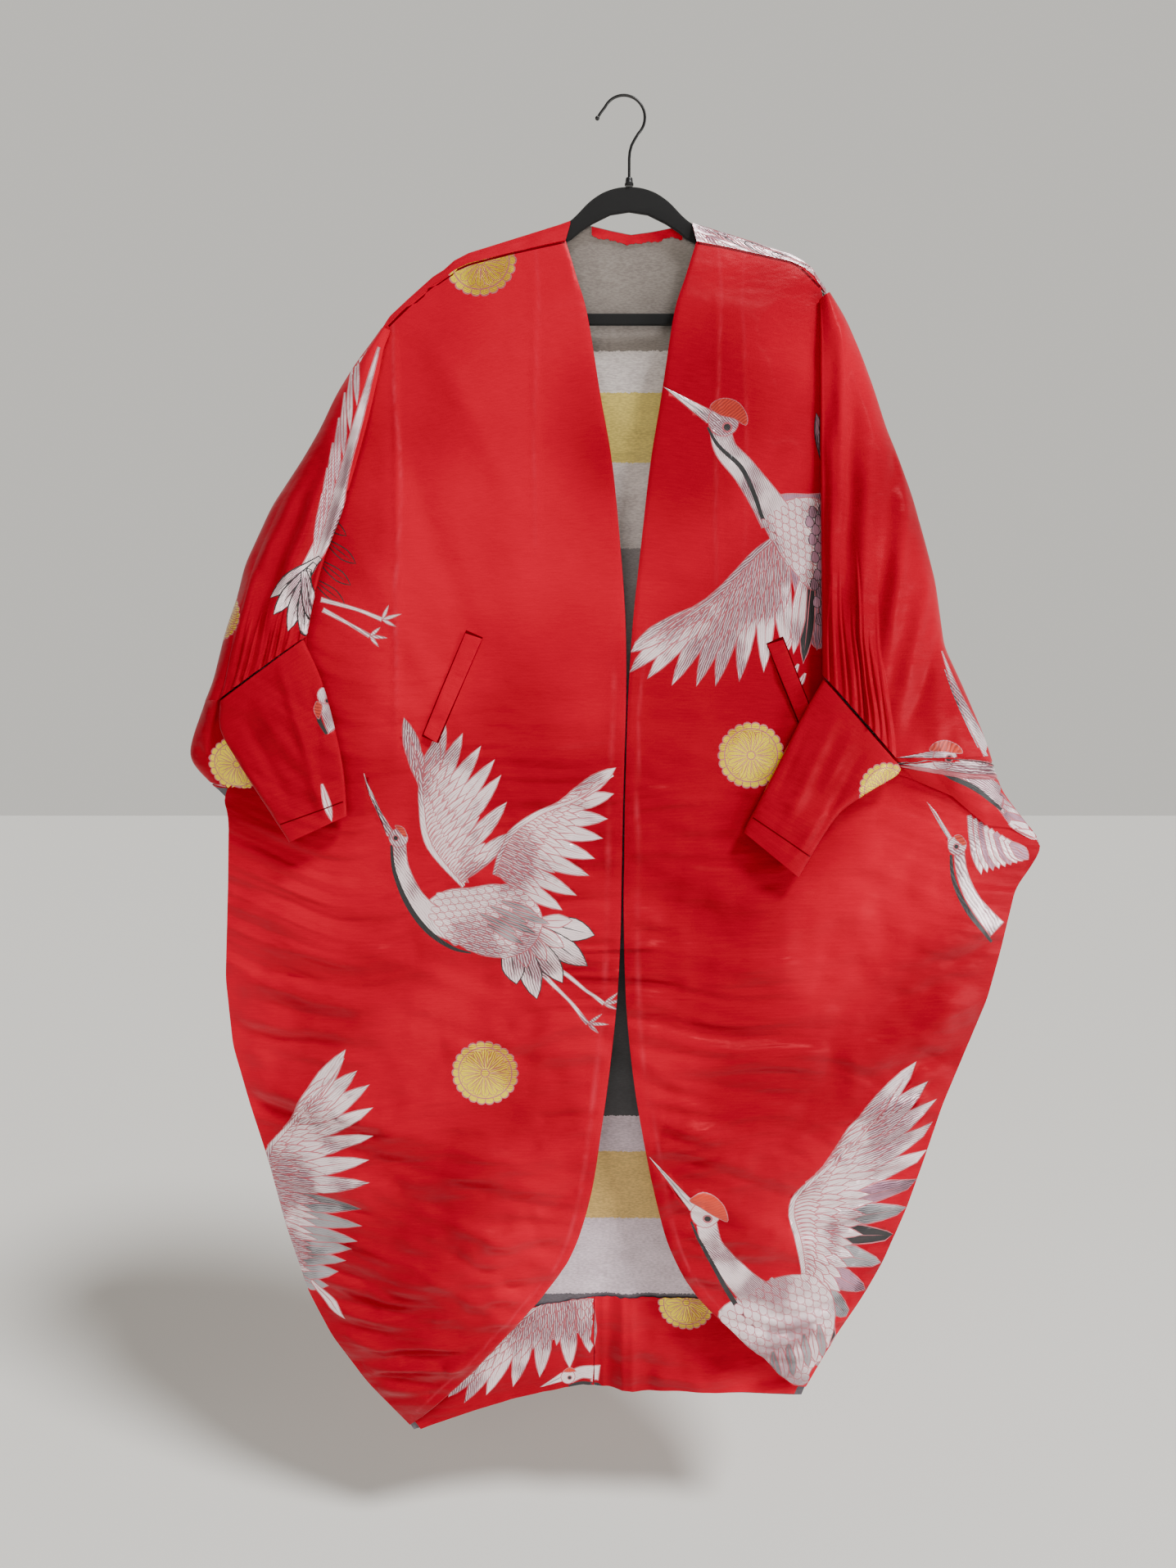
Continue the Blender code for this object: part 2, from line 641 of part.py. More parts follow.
def sleeve_front_row(side, t):
    shares = sleeve_columns(side)
    gathered = len(shares) - len(SLEEVES[side].outer_shares)
    row = []
    for column, share in enumerate(shares):
        x, depth, z = sleeve_point(side, share, t)
        if 0 < column < gathered - 1:
            depth += gather(side, column, t)
        row.append((x, -depth, z))
    fold, beside = row[0], sleeve_point(side, 0.5, t)
    reach = math.hypot(beside[0] - fold[0], beside[2] - fold[2])
    under = min(FOLD_UNDER, reach * 0.7) / reach
    x, z = mix(fold[0], beside[0], under), mix(fold[2], beside[2], under)
    return [(x, min(fold[1] + FOLD_STEP, -depth_front(x, z) - LAP - SEAM), z)] + row


def back_sleeve_row(side, line, t, q):
    """The sleeve's back, from the top line in to the armhole."""
    hole_x, hole_z = armhole(side, t, q)
    row = []
    for share in BACK_SLEEVE_SHARES:
        x, z = mix(line[0], hole_x, share), mix(line[2], hole_z, share)
        row.append((x, depth_back(x, z), z))
    return row


def under_row(side, q):
    """The pouch behind the cuff, from the gathered seam's back down to the underarm."""
    sleeve = SLEEVES[side]
    edge = sleeve.under_edge
    row = []
    for share in sleeve_columns(side):
        top_x, top_z = ring_place(side, share)
        low_x = reading([u.share for u in edge], [u.x for u in edge], share)
        low_z = reading([u.share for u in edge], [u.z for u in edge], share)
        outer_z = line_z(side, 1.0, q) if q > 0 else sleeve.rows[-1].line_z
        outer = outline(side, outer_z)
        first_x, first_z = outline(side, sleeve.rows[-1].line_z), sleeve.rows[-1].line_z
        x = mix(top_x, low_x, q) + share ** 3 * (outer - mix(first_x, edge[-1].x, q))
        z = mix(top_z, low_z, q) + share ** 3 * (outer_z - mix(first_z, edge[-1].z, q))
        behind = ring_depth(side, share)
        if share < sleeve.ring_share:
            behind -= max(ring_bulge(side, share), FOLD_STEP) + LAP + POUCH_LIFT
        laid = depth_front(x, z) + LAP + POUCH_LIFT if share < 1 else 0.0
        row.append((x, -mix(behind, laid, q ** 0.8 if q > 0 else 0.0), z))
    return row


def make_sleeve(side, colour):
    """Front, top line and back in one piece, slit along the gathered seam for the cuff."""
    upper, lower, pouch = [], [], []
    for t, q in sleeve_rows(side):
        if q == 0:
            front = sleeve_front_row(side, t)
            back = back_sleeve_row(side, front[-1], t, 0.0)
            upper.append(front + back)
            if t == 1:
                pouch.append(under_row(side, 0.0))
                lower.append([front[-1]] + back)
        else:
            under = under_row(side, q)
            pouch.append(under)
            lower.append([under[-1]] + back_sleeve_row(side, under[-1], 1.0, q))
    lofts = [upper, pouch, lower]
    if side == "left":
        lofts = [[row[::-1] for row in loft] for loft in lofts]
    return cloth_object(f"sleeve_{side}", lofts, colour)


def make_cuff(side, colour):
    """A flattened tube between its two folds."""
    sections = []
    for row in range(CUFF_ROWS):
        left_x, left_z, right_x, right_z, depth, half = through(CUFFS[side], row / (CUFF_ROWS - 1))
        section = []
        for step in range(CUFF_SIDES):
            turn = 2 * math.pi * step / CUFF_SIDES
            across, out = math.cos(turn), math.sin(turn)
            across = math.copysign(abs(across) ** 0.8, across)
            out = math.copysign(abs(out) ** 0.7, out)
            share = (1 + across) / 2
            section.append((mix(left_x, right_x, share), -depth - half * out,
                            mix(left_z, right_z, share)))
        sections.append(section[::-1])
    return cloth_object(f"cuff_{side}", [sections], colour, closed=True)


# Small pieces that lie on the panels.

def make_welt(side, colour):
    welt = WELTS[side]
    sections = []
    for i in range(8):
        f = i / 7
        section = []
        for j in range(3):
            upper = [mix(a, b, j / 2) for a, b in zip(*welt.upper)]
            lower = [mix(a, b, j / 2) for a, b in zip(*welt.lower)]
            x, z = mix(upper[0], lower[0], f), mix(upper[1], lower[1], f)
            section.append((x, -depth_front(x, z) - LAP - WELT_LIFT, z))
        sections.append(section)
    return cloth_object(f"welt_{side}", [sections], colour)


def make_neck_facing(colour):
    sections = []
    for drop in (1.2, 6.0, 11.0):
        section = []
        for i in range(2, NECK_COLUMNS - 1):
            x = mix(BACK_NECK[0].x, BACK_NECK[-1].x, i / NECK_COLUMNS)
            z = neck_z(x) - drop
            section.append((x, depth_back(x, z) - LAP - SEAM, z))
        sections.append(section)
    return cloth_object("neck_facing", [sections], colour)


def make_hem_facing(side, colour):
    """One length of hem facing, from the seam between the two out to the side."""
    sign = -1 if side == "left" else 1
    corner = BACK_HEM[0] if side == "left" else BACK_HEM[-1]
    start = FACING_SEAM_X + sign * SEAM
    hem = ([h.x for h in BACK_HEM], [h.z for h in BACK_HEM])
    sections = []
    for g in range(5):
        rise = mix(FACING_TURN, FACING_HEIGHT, g / 4)
        outer_z = corner.z + rise
        outer_x = outline(side, outer_z) - sign * SIDE_CLEAR
        inner = [start] + [x for x in HEM_COLUMNS if (x - start) * sign > 1][::sign]
        columns = inner + [mix(inner[-1], outer_x, s) for s in FRONT_SHARES[1:]]
        section = []
        for x in columns:
            f = (x - start) / (outer_x - start)
            level = mix(reading(*hem, start), corner.z, f)
            sag = reading(*hem, mix(start, corner.x, f)) - level
            z = level + rise + sag * (1 - g / 4)
            section.append((x, depth_back(x, z) - LAP - FACING_LIFT, z))
        sections.append(section if side == "right" else section[::-1])
    return cloth_object(f"hem_facing_{side}", [sections[::-1]], colour)


# The hanger.

def to_mesh(obj):
    """A curve made a mesh with its caps welded on."""
    graph = bpy.context.evaluated_depsgraph_get()
    mesh = bpy.data.meshes.new_from_object(obj.evaluated_get(graph))
    bm = bmesh.new()
    bm.from_mesh(mesh)
    bmesh.ops.remove_doubles(bm, verts=bm.verts, dist=1e-6)
    bm.to_mesh(mesh)
    bm.free()
    made = bpy.data.objects.new(obj.name, mesh)
    made.matrix_world = obj.matrix_world.copy()
    COAT.objects.link(made)
    bpy.data.objects.remove(obj)
    return made


def closed_line(curve, points):
    line = curve.splines.new("POLY")
    line.points.add(len(points) - 1)
    for point, (x, z) in zip(line.points, points):
        point.co = (x * MM, z * MM, 0, 1)
    line.use_cyclic_u = True


def make_arms(colour):
    """Arms and bar in one flat outline round the open middle."""
    neck_out = abs(BACK_NECK[0].x - STEM_X)
    arch = {STEM_X + a.out * sign for a in ARMS for sign in (-1, 1) if a.out < neck_out}
    resting = {ridge_x(side, s) for side in ("left", "right") for s in FRONT_SHARES}
    xs = sorted(arch | {x for x in resting if abs(x - STEM_X) < ARMS[-1].out})
    outer = [(x, arm_top(x)) for x in xs]
    outer += [(STEM_X + x, z) for x, z in ARM_END]
    outer += [(STEM_X - x, z) for x, z in ARM_END[::-1]]
    inner = [(STEM_X + a.out, a.under) for a in ARMS[:-1]]
    inner += [(STEM_X + BAR_INNER_X + 5, -205), (STEM_X + BAR_INNER_X, BAR_TOP)]
    inner = inner + [(2 * STEM_X - x, z) for x, z in inner[::-1] if x != STEM_X]
    curve = bpy.data.curves.new("hanger_arms", "CURVE")
    curve.dimensions = "2D"
    curve.fill_mode = "BOTH"
    curve.extrude = ARM_THICK / 2 * MM
    closed_line(curve, outer)
    closed_line(curve, inner)
    obj = bpy.data.objects.new("hanger_arms", curve)
    COAT.objects.link(obj)
    obj.rotation_euler = (math.radians(90), 0, 0)
    bpy.context.view_layer.update()
    obj = to_mesh(obj)
    obj.name = "hanger_arms"
    edge = obj.modifiers.new("rounded", "BEVEL")
    edge.width = ARM_BEVEL * MM
    edge.segments = 1
    edge.limit_method = "ANGLE"
    edge.angle_limit = math.radians(50)
    obj.data.materials.append(colour)
    return obj


def hook_route():
    """From the flared tip over the arc, then in to the stem and down to the collar."""
    centre_z = -(HOOK_RADIUS - WIRE / 2)
    route = [(-26.6, -19.4), (-25.2, -17.2), (-23.4, -14.8)]
    route += [(HOOK_RADIUS * math.cos(a), centre_z + HOOK_RADIUS * math.sin(a))
              for a in (math.radians(d) for d in range(152, -47, -11))]
    route += [(11.6, -43.5), (8.4, -49.5), (STEM_X + 0.6, -56), (STEM_X, -63)]
    collar_top = ARMS[0].top + SEAM + COLLAR[1]
    return route + [(STEM_X, collar_top + SEAM)]


def make_hook(colour):
    curve = bpy.data.curves.new("hanger_hook", "CURVE")
    curve.dimensions = "3D"
    curve.bevel_depth = WIRE / 2 * MM
    curve.bevel_resolution = 2
    curve.use_fill_caps = True
    route = hook_route()
    line = curve.splines.new("POLY")
    line.points.add(len(route) - 1)
    for point, (x, z) in zip(line.points, route):
        point.co = (x * MM, 0, z * MM, 1)
    obj = bpy.data.objects.new("hanger_hook", curve)
    COAT.objects.link(obj)
    curve.materials.append(colour)
    return obj


def make_collar(colour):
    bpy.ops.mesh.primitive_cone_add(
        vertices=24, radius1=COLLAR[0] / 2 * MM, radius2=COLLAR[0] * 0.36 * MM,
        depth=COLLAR[1] * MM,
        location=(STEM_X * MM, 0, (ARMS[0].top + SEAM + COLLAR[1] / 2) * MM))
    return keep_primitive("hanger_collar", colour)


def make_tip(colour):
    (x0, z0), (x1, z1) = hook_route()[:2]
    length = math.hypot(x0 - x1, z0 - z1)
    away = TIP_BALL / 2 + SEAM
    place = (x0 + (x0 - x1) / length * away, z0 + (z0 - z1) / length * away)
    bpy.ops.mesh.primitive_uv_sphere_add(
        segments=14, ring_count=8, radius=TIP_BALL / 2 * MM,
        location=(place[0] * MM, 0, place[1] * MM))
    return keep_primitive("hanger_hook_tip", colour)


def keep_primitive(name, colour):
    obj = bpy.context.object
    obj.name = name
    obj.data.materials.append(colour)
    obj.data.shade_smooth()
    for collection in list(obj.users_collection):
        collection.objects.unlink(obj)
    COAT.objects.link(obj)
    return obj


for old in list(bpy.data.objects):
    bpy.data.objects.remove(old)
COAT = bpy.data.collections.new("cocoon_coat")
bpy.context.scene.collection.children.link(COAT)


def main():
    red = (0.62, 0.006, 0.014)
    make_back(material("satin brocade, back", red, 0.42, sheen=0.2))
    make_neck_facing(material("satin, neck facing", red, 0.45))
    for side in ("left", "right"):
        make_yoke(side, material(f"satin brocade, {side} yoke", red, 0.42, sheen=0.2))
        make_front(side, material(f"satin brocade, {side} front", red, 0.42, sheen=0.2))
        make_sleeve(side, material(f"satin brocade, {side} sleeve", red, 0.40, sheen=0.2))
        make_cuff(side, material(f"satin, {side} cuff", (0.5, 0.005, 0.012), 0.38, sheen=0.2))
        make_welt(side, material(f"satin, {side} welt", red, 0.45))
        make_hem_facing(side, material(f"satin, {side} hem facing", red, 0.42))
    make_arms(material("black velvet flocking", (0.008, 0.008, 0.009), 0.95, sheen=0.6))
    make_collar(material("black plastic collar", (0.01, 0.01, 0.01), 0.5))
    make_hook(material("black coated steel wire", (0.012, 0.012, 0.013), 0.4, metallic=0.6))
    make_tip(material("black plastic hook tip", (0.01, 0.01, 0.01), 0.5))


main()
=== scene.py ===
"""A cocoon coat re-cut from a red wedding uchikake, hung on its velvet hanger.

Lengths in the tables are millimetres in the frame's axes: +Z is up, the fronts face -Y, the
origin is the inner top of the hanger's hook, and left and right are the viewer's.
"""

from __future__ import annotations

import logging
import math
from dataclasses import dataclass
from enum import Enum
from typing import Callable, NamedTuple, Sequence

import bmesh
import bpy
import numpy as np
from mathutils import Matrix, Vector
from mathutils.bvhtree import BVHTree
from mathutils.geometry import delaunay_2d_cdt


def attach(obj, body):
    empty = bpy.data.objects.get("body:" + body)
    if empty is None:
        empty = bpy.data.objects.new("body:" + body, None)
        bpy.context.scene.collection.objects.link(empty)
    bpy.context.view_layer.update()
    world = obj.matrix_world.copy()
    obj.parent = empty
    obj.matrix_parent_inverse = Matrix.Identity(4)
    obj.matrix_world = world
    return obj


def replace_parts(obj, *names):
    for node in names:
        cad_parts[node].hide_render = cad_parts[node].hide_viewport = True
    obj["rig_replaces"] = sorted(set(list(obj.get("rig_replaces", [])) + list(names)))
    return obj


MM = 0.001
LOG = logging.getLogger("coat")
Array = np.ndarray


class Side(Enum):
    """Which half of the coat a piece belongs to, as the viewer sees it."""

    LEFT = "left"
    RIGHT = "right"

    @property
    def sign(self) -> int:
        """-1 on the viewer's left, 1 on the right."""
        return -1 if self is Side.LEFT else 1


class Held(Enum):
    """How a sheet of cloth is held."""

    HUNG = "hung"
    GATHERED = "gathered"
    FOLDED = "folded"


# Curves and fields.


def through(rows: Sequence[Sequence[float]], shares: Array | float) -> Array:
    """A smooth curve through a table's rows, evenly spaced.

    Args:
        rows: The table, one row a station.
        shares: Places from 0 at the first row to 1 at the last.

    Returns:
        One row of values for each share.
    """
    table = np.array([tuple(row) for row in rows], float)
    at = np.clip(np.asarray(shares, float), 0, 1) * (len(table) - 1)
    low = np.minimum(at.astype(int), len(table) - 2)
    f = (at - low)[..., None]
    a, b = table[low], table[low + 1]
    before, after = table[np.maximum(low - 1, 0)], table[np.minimum(low + 2, len(table) - 1)]
    slope_a, slope_b = (b - before) / 2, (after - a) / 2
    return ((2 * f**3 - 3 * f**2 + 1) * a + (f**3 - 2 * f**2 + f) * slope_a
            + (3 * f**2 - 2 * f**3) * b + (f**3 - f**2) * slope_b)


def reading(keys: Sequence[float], values: Sequence[float], at: Array | float) -> Array:
    """The straight-line reading of a two-column table, in either order of its keys.

    Args:
        keys: The first column, rising or falling.
        values: The second column.
        at: Where to read it.

    Returns:
        The value at each place.
    """
    keys, values = np.asarray(keys, float), np.asarray(values, float)
    if keys[0] > keys[-1]:
        keys, values = keys[::-1], values[::-1]
    return np.interp(at, keys, values)


def eased(keys: Sequence[float], values: Sequence[float], at: Array | float) -> Array:
    """A rounded reading of a two-column table: straight readings averaged over a short way."""
    return sum(reading(keys, values, np.asarray(at) + shift) for shift in (-9, -4, 0, 4, 9)) / 5


def mix(a: Array | float, b: Array | float, share: Array | float) -> Array:
    """The value at a share of the way from a to b."""
    return a + (b - a) * share


def smoothstep(low: float, high: float, value: Array | float) -> Array:
    """0 below low, 1 above high and a soft rise between."""
    t = np.clip((np.asarray(value, float) - low) / (high - low), 0, 1)
    return t * t * (3 - 2 * t)


def drift(x: Array, z: Array, size: float, seed: int, stretch: float = 1.0) -> Array:
    """Soft uneven swelling between about -1 and 1.

    Args:
        x: Places across, in millimetres.
        z: Places up.
        size: About how far apart the swellings lie.
        seed: Which of the many such fields.
        stretch: How much longer they are across than up.

    Returns:
        The field at each place.
    """
    dice = np.random.RandomState(seed)
    total = np.zeros_like(np.asarray(x, float))
    for _ in range(9):
        turn, phase = dice.uniform(0, math.pi), dice.uniform(0, 2 * math.pi)
        pace = 2 * math.pi / size * dice.uniform(0.6, 1.5)
        total += np.sin(pace * (math.cos(turn) * x / stretch + math.sin(turn) * z) + phase)
    return total / 4.2


class Fold(NamedTuple):
    """A soft ridge, or a trough where its height is below 0, between two points."""

    x0: float
    z0: float
    x1: float
    z1: float
    width: float
    height: float


def relief(folds: Sequence[Fold], x: Array, z: Array) -> Array:
    """Height of the folds at each place, each fading at its ends.

    Args:
        folds: The folds.
        x: Places across, in millimetres.
        z: Places up, in millimetres.

    Returns:
        Their summed height at each place.
    """
    total = np.zeros_like(np.asarray(x, float))
    for fold in folds:
        run = (fold.x1 - fold.x0, fold.z1 - fold.z0)
        along = ((x - fold.x0) * run[0] + (z - fold.z0) * run[1]) / (run[0] ** 2 + run[1] ** 2)
        along = np.clip(along, 0, 1)
        away = np.hypot(x - fold.x0 - along * run[0], z - fold.z0 - along * run[1])
        total += fold.height * np.exp(-((away / fold.width) ** 2)) * np.sin(np.pi * along) ** 0.6
    return total


# The coat's form.


class Height(NamedTuple):
    """Where the coat's outline stands at a height."""

    z: float
    x: float


class Arm(NamedTuple):
    """The hanger's arm at a distance from its stem."""

    out: float
    top: float
    under: float


class Along(NamedTuple):
    """A height along the coat's width."""

    x: float
    z: float


ARMS = (
    Arm(0, -91.0, -118.0), Arm(20, -93.5, -121.0), Arm(39, -103.0, -130.0),
    Arm(52, -115.5, -138.0), Arm(62, -128.0, -146.0), Arm(75, -132.5, -152.0),
    Arm(100, -140.0, -160.0), Arm(125, -147.5, -166.0), Arm(150, -155.0, -172.0),
    Arm(172, -161.5, -178.0), Arm(188, -169.5, -185.0), Arm(199, -179.0, -194.0),
)
LEFT_OUTLINE = (
    Height(-185, -205), Height(-209, -233), Height(-226, -252), Height(-244, -264),
    Height(-278, -291), Height(-310, -312), Height(-346, -330), Height(-377, -349),
    Height(-429, -385), Height(-492, -415), Height(-527, -424), Height(-565, -438),
    Height(-595, -446), Height(-620, -453), Height(-649, -466), Height(-680, -479),
    Height(-703, -485), Height(-720, -475), Height(-736, -458), Height(-753, -447),
    Height(-774, -443), Height(-849, -446), Height(-957, -452), Height(-1036, -446),
    Height(-1107, -428), Height(-1173, -409), Height(-1250, -391), Height(-1333, -366),
    Height(-1387, -340), Height(-1446, -299), Height(-1507, -243),
)
RIGHT_OUTLINE = (
    Height(-185, 209), Height(-206, 225), Height(-229, 240), Height(-265, 257),
    Height(-302, 272), Height(-345, 287), Height(-374, 300), Height(-417, 317),
    Height(-475, 335), Height(-510, 345), Height(-581, 357), Height(-621, 377),
    Height(-681, 405), Height(-742, 427), Height(-775, 453), Height(-797, 472),
    Height(-809, 474), Height(-832, 461), Height(-852, 447), Height(-926, 432),
    Height(-981, 419), Height(-1047, 394), Height(-1108, 371), Height(-1172, 352),
    Height(-1232, 333), Height(-1297, 307), Height(-1339, 285), Height(-1388, 254),
    Height(-1463, 214),
)
BACK_NECK = (Along(-57, -131), Along(-36, -129.5), Along(-14, -134), Along(8, -138),
             Along(30, -135.5), Along(54, -131.5), Along(74, -134.5))
BACK_HEM = (Along(-243, -1507), Along(-174, -1488), Along(-93, -1469), Along(-44, -1461),
            Along(-12, -1464), Along(21, -1469), Along(54, -1468), Along(119, -1469),
            Along(214, -1463))
FACING_SEAM_X = -30.7


class FrontRow(NamedTuple):
    """One section of a front, from its opening edge to its side."""

    edge_x: float
    edge_z: float
    side_x: float
    side_z: float


FRONTS = {
    Side.LEFT: (
        FrontRow(-62, -148, -254, -233), FrontRow(-50, -190, -264, -262),
        FrontRow(-39, -229, -275, -294), FrontRow(-25, -313, -291, -351),
        FrontRow(-12, -387, -314, -428), FrontRow(-3, -477, -336, -497),
        FrontRow(2.5, -555, -352, -560), FrontRow(3.6, -632, -382, -636),
        FrontRow(2.0, -700, -420, -704), FrontRow(0.4, -762, -447, -753),
        FrontRow(-0.8, -835, -446, -830), FrontRow(-2.0, -905, -450, -905),
        FrontRow(-6, -980, -452, -985), FrontRow(-14, -1058, -440, -1065),
        FrontRow(-23, -1126, -424, -1130), FrontRow(-35, -1204, -402, -1200),
        FrontRow(-56, -1272, -386, -1265), FrontRow(-88, -1322, -366, -1330),
        FrontRow(-133, -1376, -335, -1392), FrontRow(-185, -1436, -292, -1452),
        FrontRow(-234, -1486, -249, -1500),
    ),
    Side.RIGHT: (
        FrontRow(78, -152, 212, -196), FrontRow(66, -190, 218, -232),
        FrontRow(54, -229, 222, -270), FrontRow(41, -313, 224, -340),
        FrontRow(29, -387, 225, -416), FrontRow(19, -477, 227, -503),
        FrontRow(11, -555, 228, -570), FrontRow(6.2, -632, 240, -640),
        FrontRow(4.2, -700, 300, -702), FrontRow(2.8, -755, 372, -736),
        FrontRow(2.2, -810, 474, -807), FrontRow(1.8, -880, 439, -880),
        FrontRow(5, -980, 420, -975), FrontRow(13, -1062, 390, -1055),
        FrontRow(23, -1126, 366, -1125), FrontRow(38, -1202, 343, -1200),
        FrontRow(57, -1270, 320, -1265), FrontRow(88, -1327, 290, -1330),
        FrontRow(134, -1376, 262, -1375), FrontRow(178, -1421, 236, -1421),
        FrontRow(203, -1447, 219, -1452),
    ),
}
FRONT_ARMHOLE_ROWS = {Side.LEFT: 9, Side.RIGHT: 10}

FRONT_FOLDS = (
    Fold(-250, -290, -245, -560, 20, 2.6), Fold(-120, -330, -115, -640, 24, 2.2),
    Fold(-30, -800, -190, -850, 20, 3.0), Fold(-20, -900, -230, -915, 22, 3.4),
    Fold(-430, -860, -250, -935, 24, 4.2), Fold(-435, -960, -230, -1000, 24, 3.8),
    Fold(-25, -1010, -200, -1035, 22, 3.4), Fold(-415, -1080, -200, -1150, 26, 4.4),
    Fold(-50, -1130, -250, -1200, 22, 3.6), Fold(-380, -1180, -190, -1270, 26, 4.2),
    Fold(-100, -1250, -290, -1340, 24, 4.0), Fold(110, -300, 125, -560, 24, 2.4),
    Fold(20, -800, 170, -880, 20, 3.0), Fold(25, -900, 220, -950, 22, 3.4),
    Fold(430, -880, 270, -930, 24, 4.2), Fold(25, -1010, 230, -1060, 22, 3.6),
    Fold(400, -990, 250, -1060, 24, 3.8), Fold(45, -1130, 240, -1210, 24, 3.8),
    Fold(360, -1110, 200, -1190, 24, 3.6), Fold(90, -1230, 260, -1290, 24, 3.6),
)
BACK_FOLDS = (
    Fold(-150, -240, -210, -700, 30, 3.4), Fold(150, -240, 215, -720, 30, 3.4),
    Fold(10, -300, 0, -800, 34, 2.8), Fold(-430, -860, -180, -960, 28, 4.2),
    Fold(430, -880, 190, -990, 28, 4.2), Fold(-400, -1090, -120, -1170, 28, 4.0),
    Fold(380, -1080, 130, -1190, 28, 4.0), Fold(-18, -1300, -18, -1520, 15, 3.4),
    Fold(7, -1310, 7, -1520, 14, -2.6), Fold(33, -1300, 33, -1520, 14, 2.6),
    Fold(71, -1320, 71, -1520, 16, 2.2), Fold(-57, -1330, -57, -1520, 15, 2.0),
    Fold(-120, -1340, -130, -1520, 26, 2.4), Fold(140, -1330, 146, -1520, 26, 2.4),
)
FRONT_CREASES = (
    # The long pressed creases from the kimono's folding, and the slack beside them.
    Fold(-246, -235, -243, -520, 3.2, 0.9), Fold(-243, -480, -250, -720, 3.2, 0.8),
    Fold(-96, -170, -92, -520, 4.0, 0.5), Fold(98, -200, 104, -560, 3.6, 0.6),
    Fold(128, -230, 132, -470, 4.0, 0.5),
    # Soft slanting folds that the shoulders and sleeves pull in the fronts.
    Fold(-255, -330, -150, -620, 16, -1.6), Fold(-215, -240, -120, -420, 14, 1.4),
    Fold(-300, -460, -160, -700, 15, 1.5), Fold(-320, -620, -120, -760, 14, -1.5),
    Fold(215, -260, 120, -460, 13, -1.3), Fold(222, -430, 120, -610, 14, 1.4),
    Fold(60, -560, 200, -640, 13, -1.2), Fold(40, -690, 180, -720, 10, 1.2),
    # Long pulls across the lower left.
    Fold(-445, -820, -330, -835, 8, 2.0), Fold(-448, -850, -300, -878, 9, -1.8),
    Fold(-450, -905, -270, -945, 8, 2.2), Fold(-448, -930, -330, -965, 7, -1.8),
    Fold(-448, -1005, -250, -1020, 9, 2.2), Fold(-444, -1032, -310, -1060, 7, -1.9),
    Fold(-430, -1085, -250, -1128, 8, 2.4), Fold(-424, -1112, -300, -1150, 7, -2.0),
    Fold(-405, -1160, -240, -1205, 9, 2.3), Fold(-398, -1196, -270, -1236, 7, -2.0),
    Fold(-380, -1245, -230, -1290, 9, 2.2), Fold(-365, -1290, -200, -1350, 9, -2.0),
    Fold(-340, -1350, -180, -1400, 9, 1.8), Fold(-290, -1120, -60, -1180, 9, 2.0),
    Fold(-300, -1155, -70, -1225, 8, -2.2), Fold(-280, -1200, -80, -1285, 9, 2.2),
    Fold(-260, -1240, -110, -1320, 8, -1.8), Fold(-240, -1290, -130, -1360, 8, 1.7),
    Fold(-320, -900, -120, -985, 10, 1.6), Fold(-260, -985, -60, -1060, 10, -1.7),
    Fold(-180, -880, -20, -868, 9, 1.5), Fold(-200, -965, -30, -940, 9, -1.4),
    # And across the lower right.
    Fold(430, -905, 300, -935, 8, 2.0), Fold(424, -945, 290, -985, 8, -2.0),
    Fold(408, -1000, 250, -1035, 8, 2.2), Fold(396, -1040, 290, -1075, 7, -1.9),
    Fold(372, -1095, 240, -1120, 8, 2.2), Fold(360, -1135, 250, -1165, 7, -1.9),
    Fold(340, -1195, 200, -1215, 8, 1.9), Fold(318, -1255, 190, -1262, 8, -1.6),
    Fold(40, -1110, 250, -1180, 10, 2.2), Fold(48, -1150, 240, -1225, 8, -2.2),
    Fold(60, -1195, 220, -1265, 9, 2.0), Fold(36, -1060, 220, -1100, 9, -1.8),
    Fold(20, -960, 200, -1000, 9, 1.6), Fold(14, -900, 180, -905, 9, -1.4),
    Fold(300, -850, 180, -905, 10, 1.6), Fold(260, -800, 120, -860, 10, -1.5),
    Fold(120, -1330, 230, -1350, 8, 1.6), Fold(150, -1375, 235, -1390, 7, -1.4),
)
BACK_CREASES = (
    Fold(-245, -240, -248, -760, 3.4, 0.9), Fold(246, -260, 250, -800, 3.4, 0.8),
    Fold(-90, -190, -100, -560, 15, 1.5), Fold(110, -190, 122, -580, 15, 1.5),
    Fold(-230, -260, -120, -520, 15, -1.6), Fold(240, -280, 130, -560, 15, -1.6),
    Fold(-440, -840, -260, -880, 9, 2.0), Fold(-448, -900, -240, -960, 9, -2.0),
    Fold(-446, -990, -220, -1040, 9, 2.2), Fold(-430, -1070, -200, -1130, 9, -2.0),
    Fold(-405, -1160, -150, -1215, 10, 2.2), Fold(-380, -1240, -140, -1300, 9, -1.9),
    Fold(-350, -1330, -160, -1370, 9, 1.7), Fold(450, -850, 260, -890, 9, 2.0),
    Fold(430, -930, 230, -985, 9, -2.0), Fold(410, -1010, 210, -1060, 9, 2.1),
    Fold(380, -1085, 170, -1140, 9, -2.0), Fold(350, -1170, 150, -1220, 10, 2.1),
    Fold(320, -1255, 130, -1290, 9, -1.8), Fold(-60, -700, 60, -760, 16, 1.4),
    Fold(-120, -1020, 90, -1060, 16, 1.5), Fold(-100, -900, 110, -930, 16, -1.4),
)


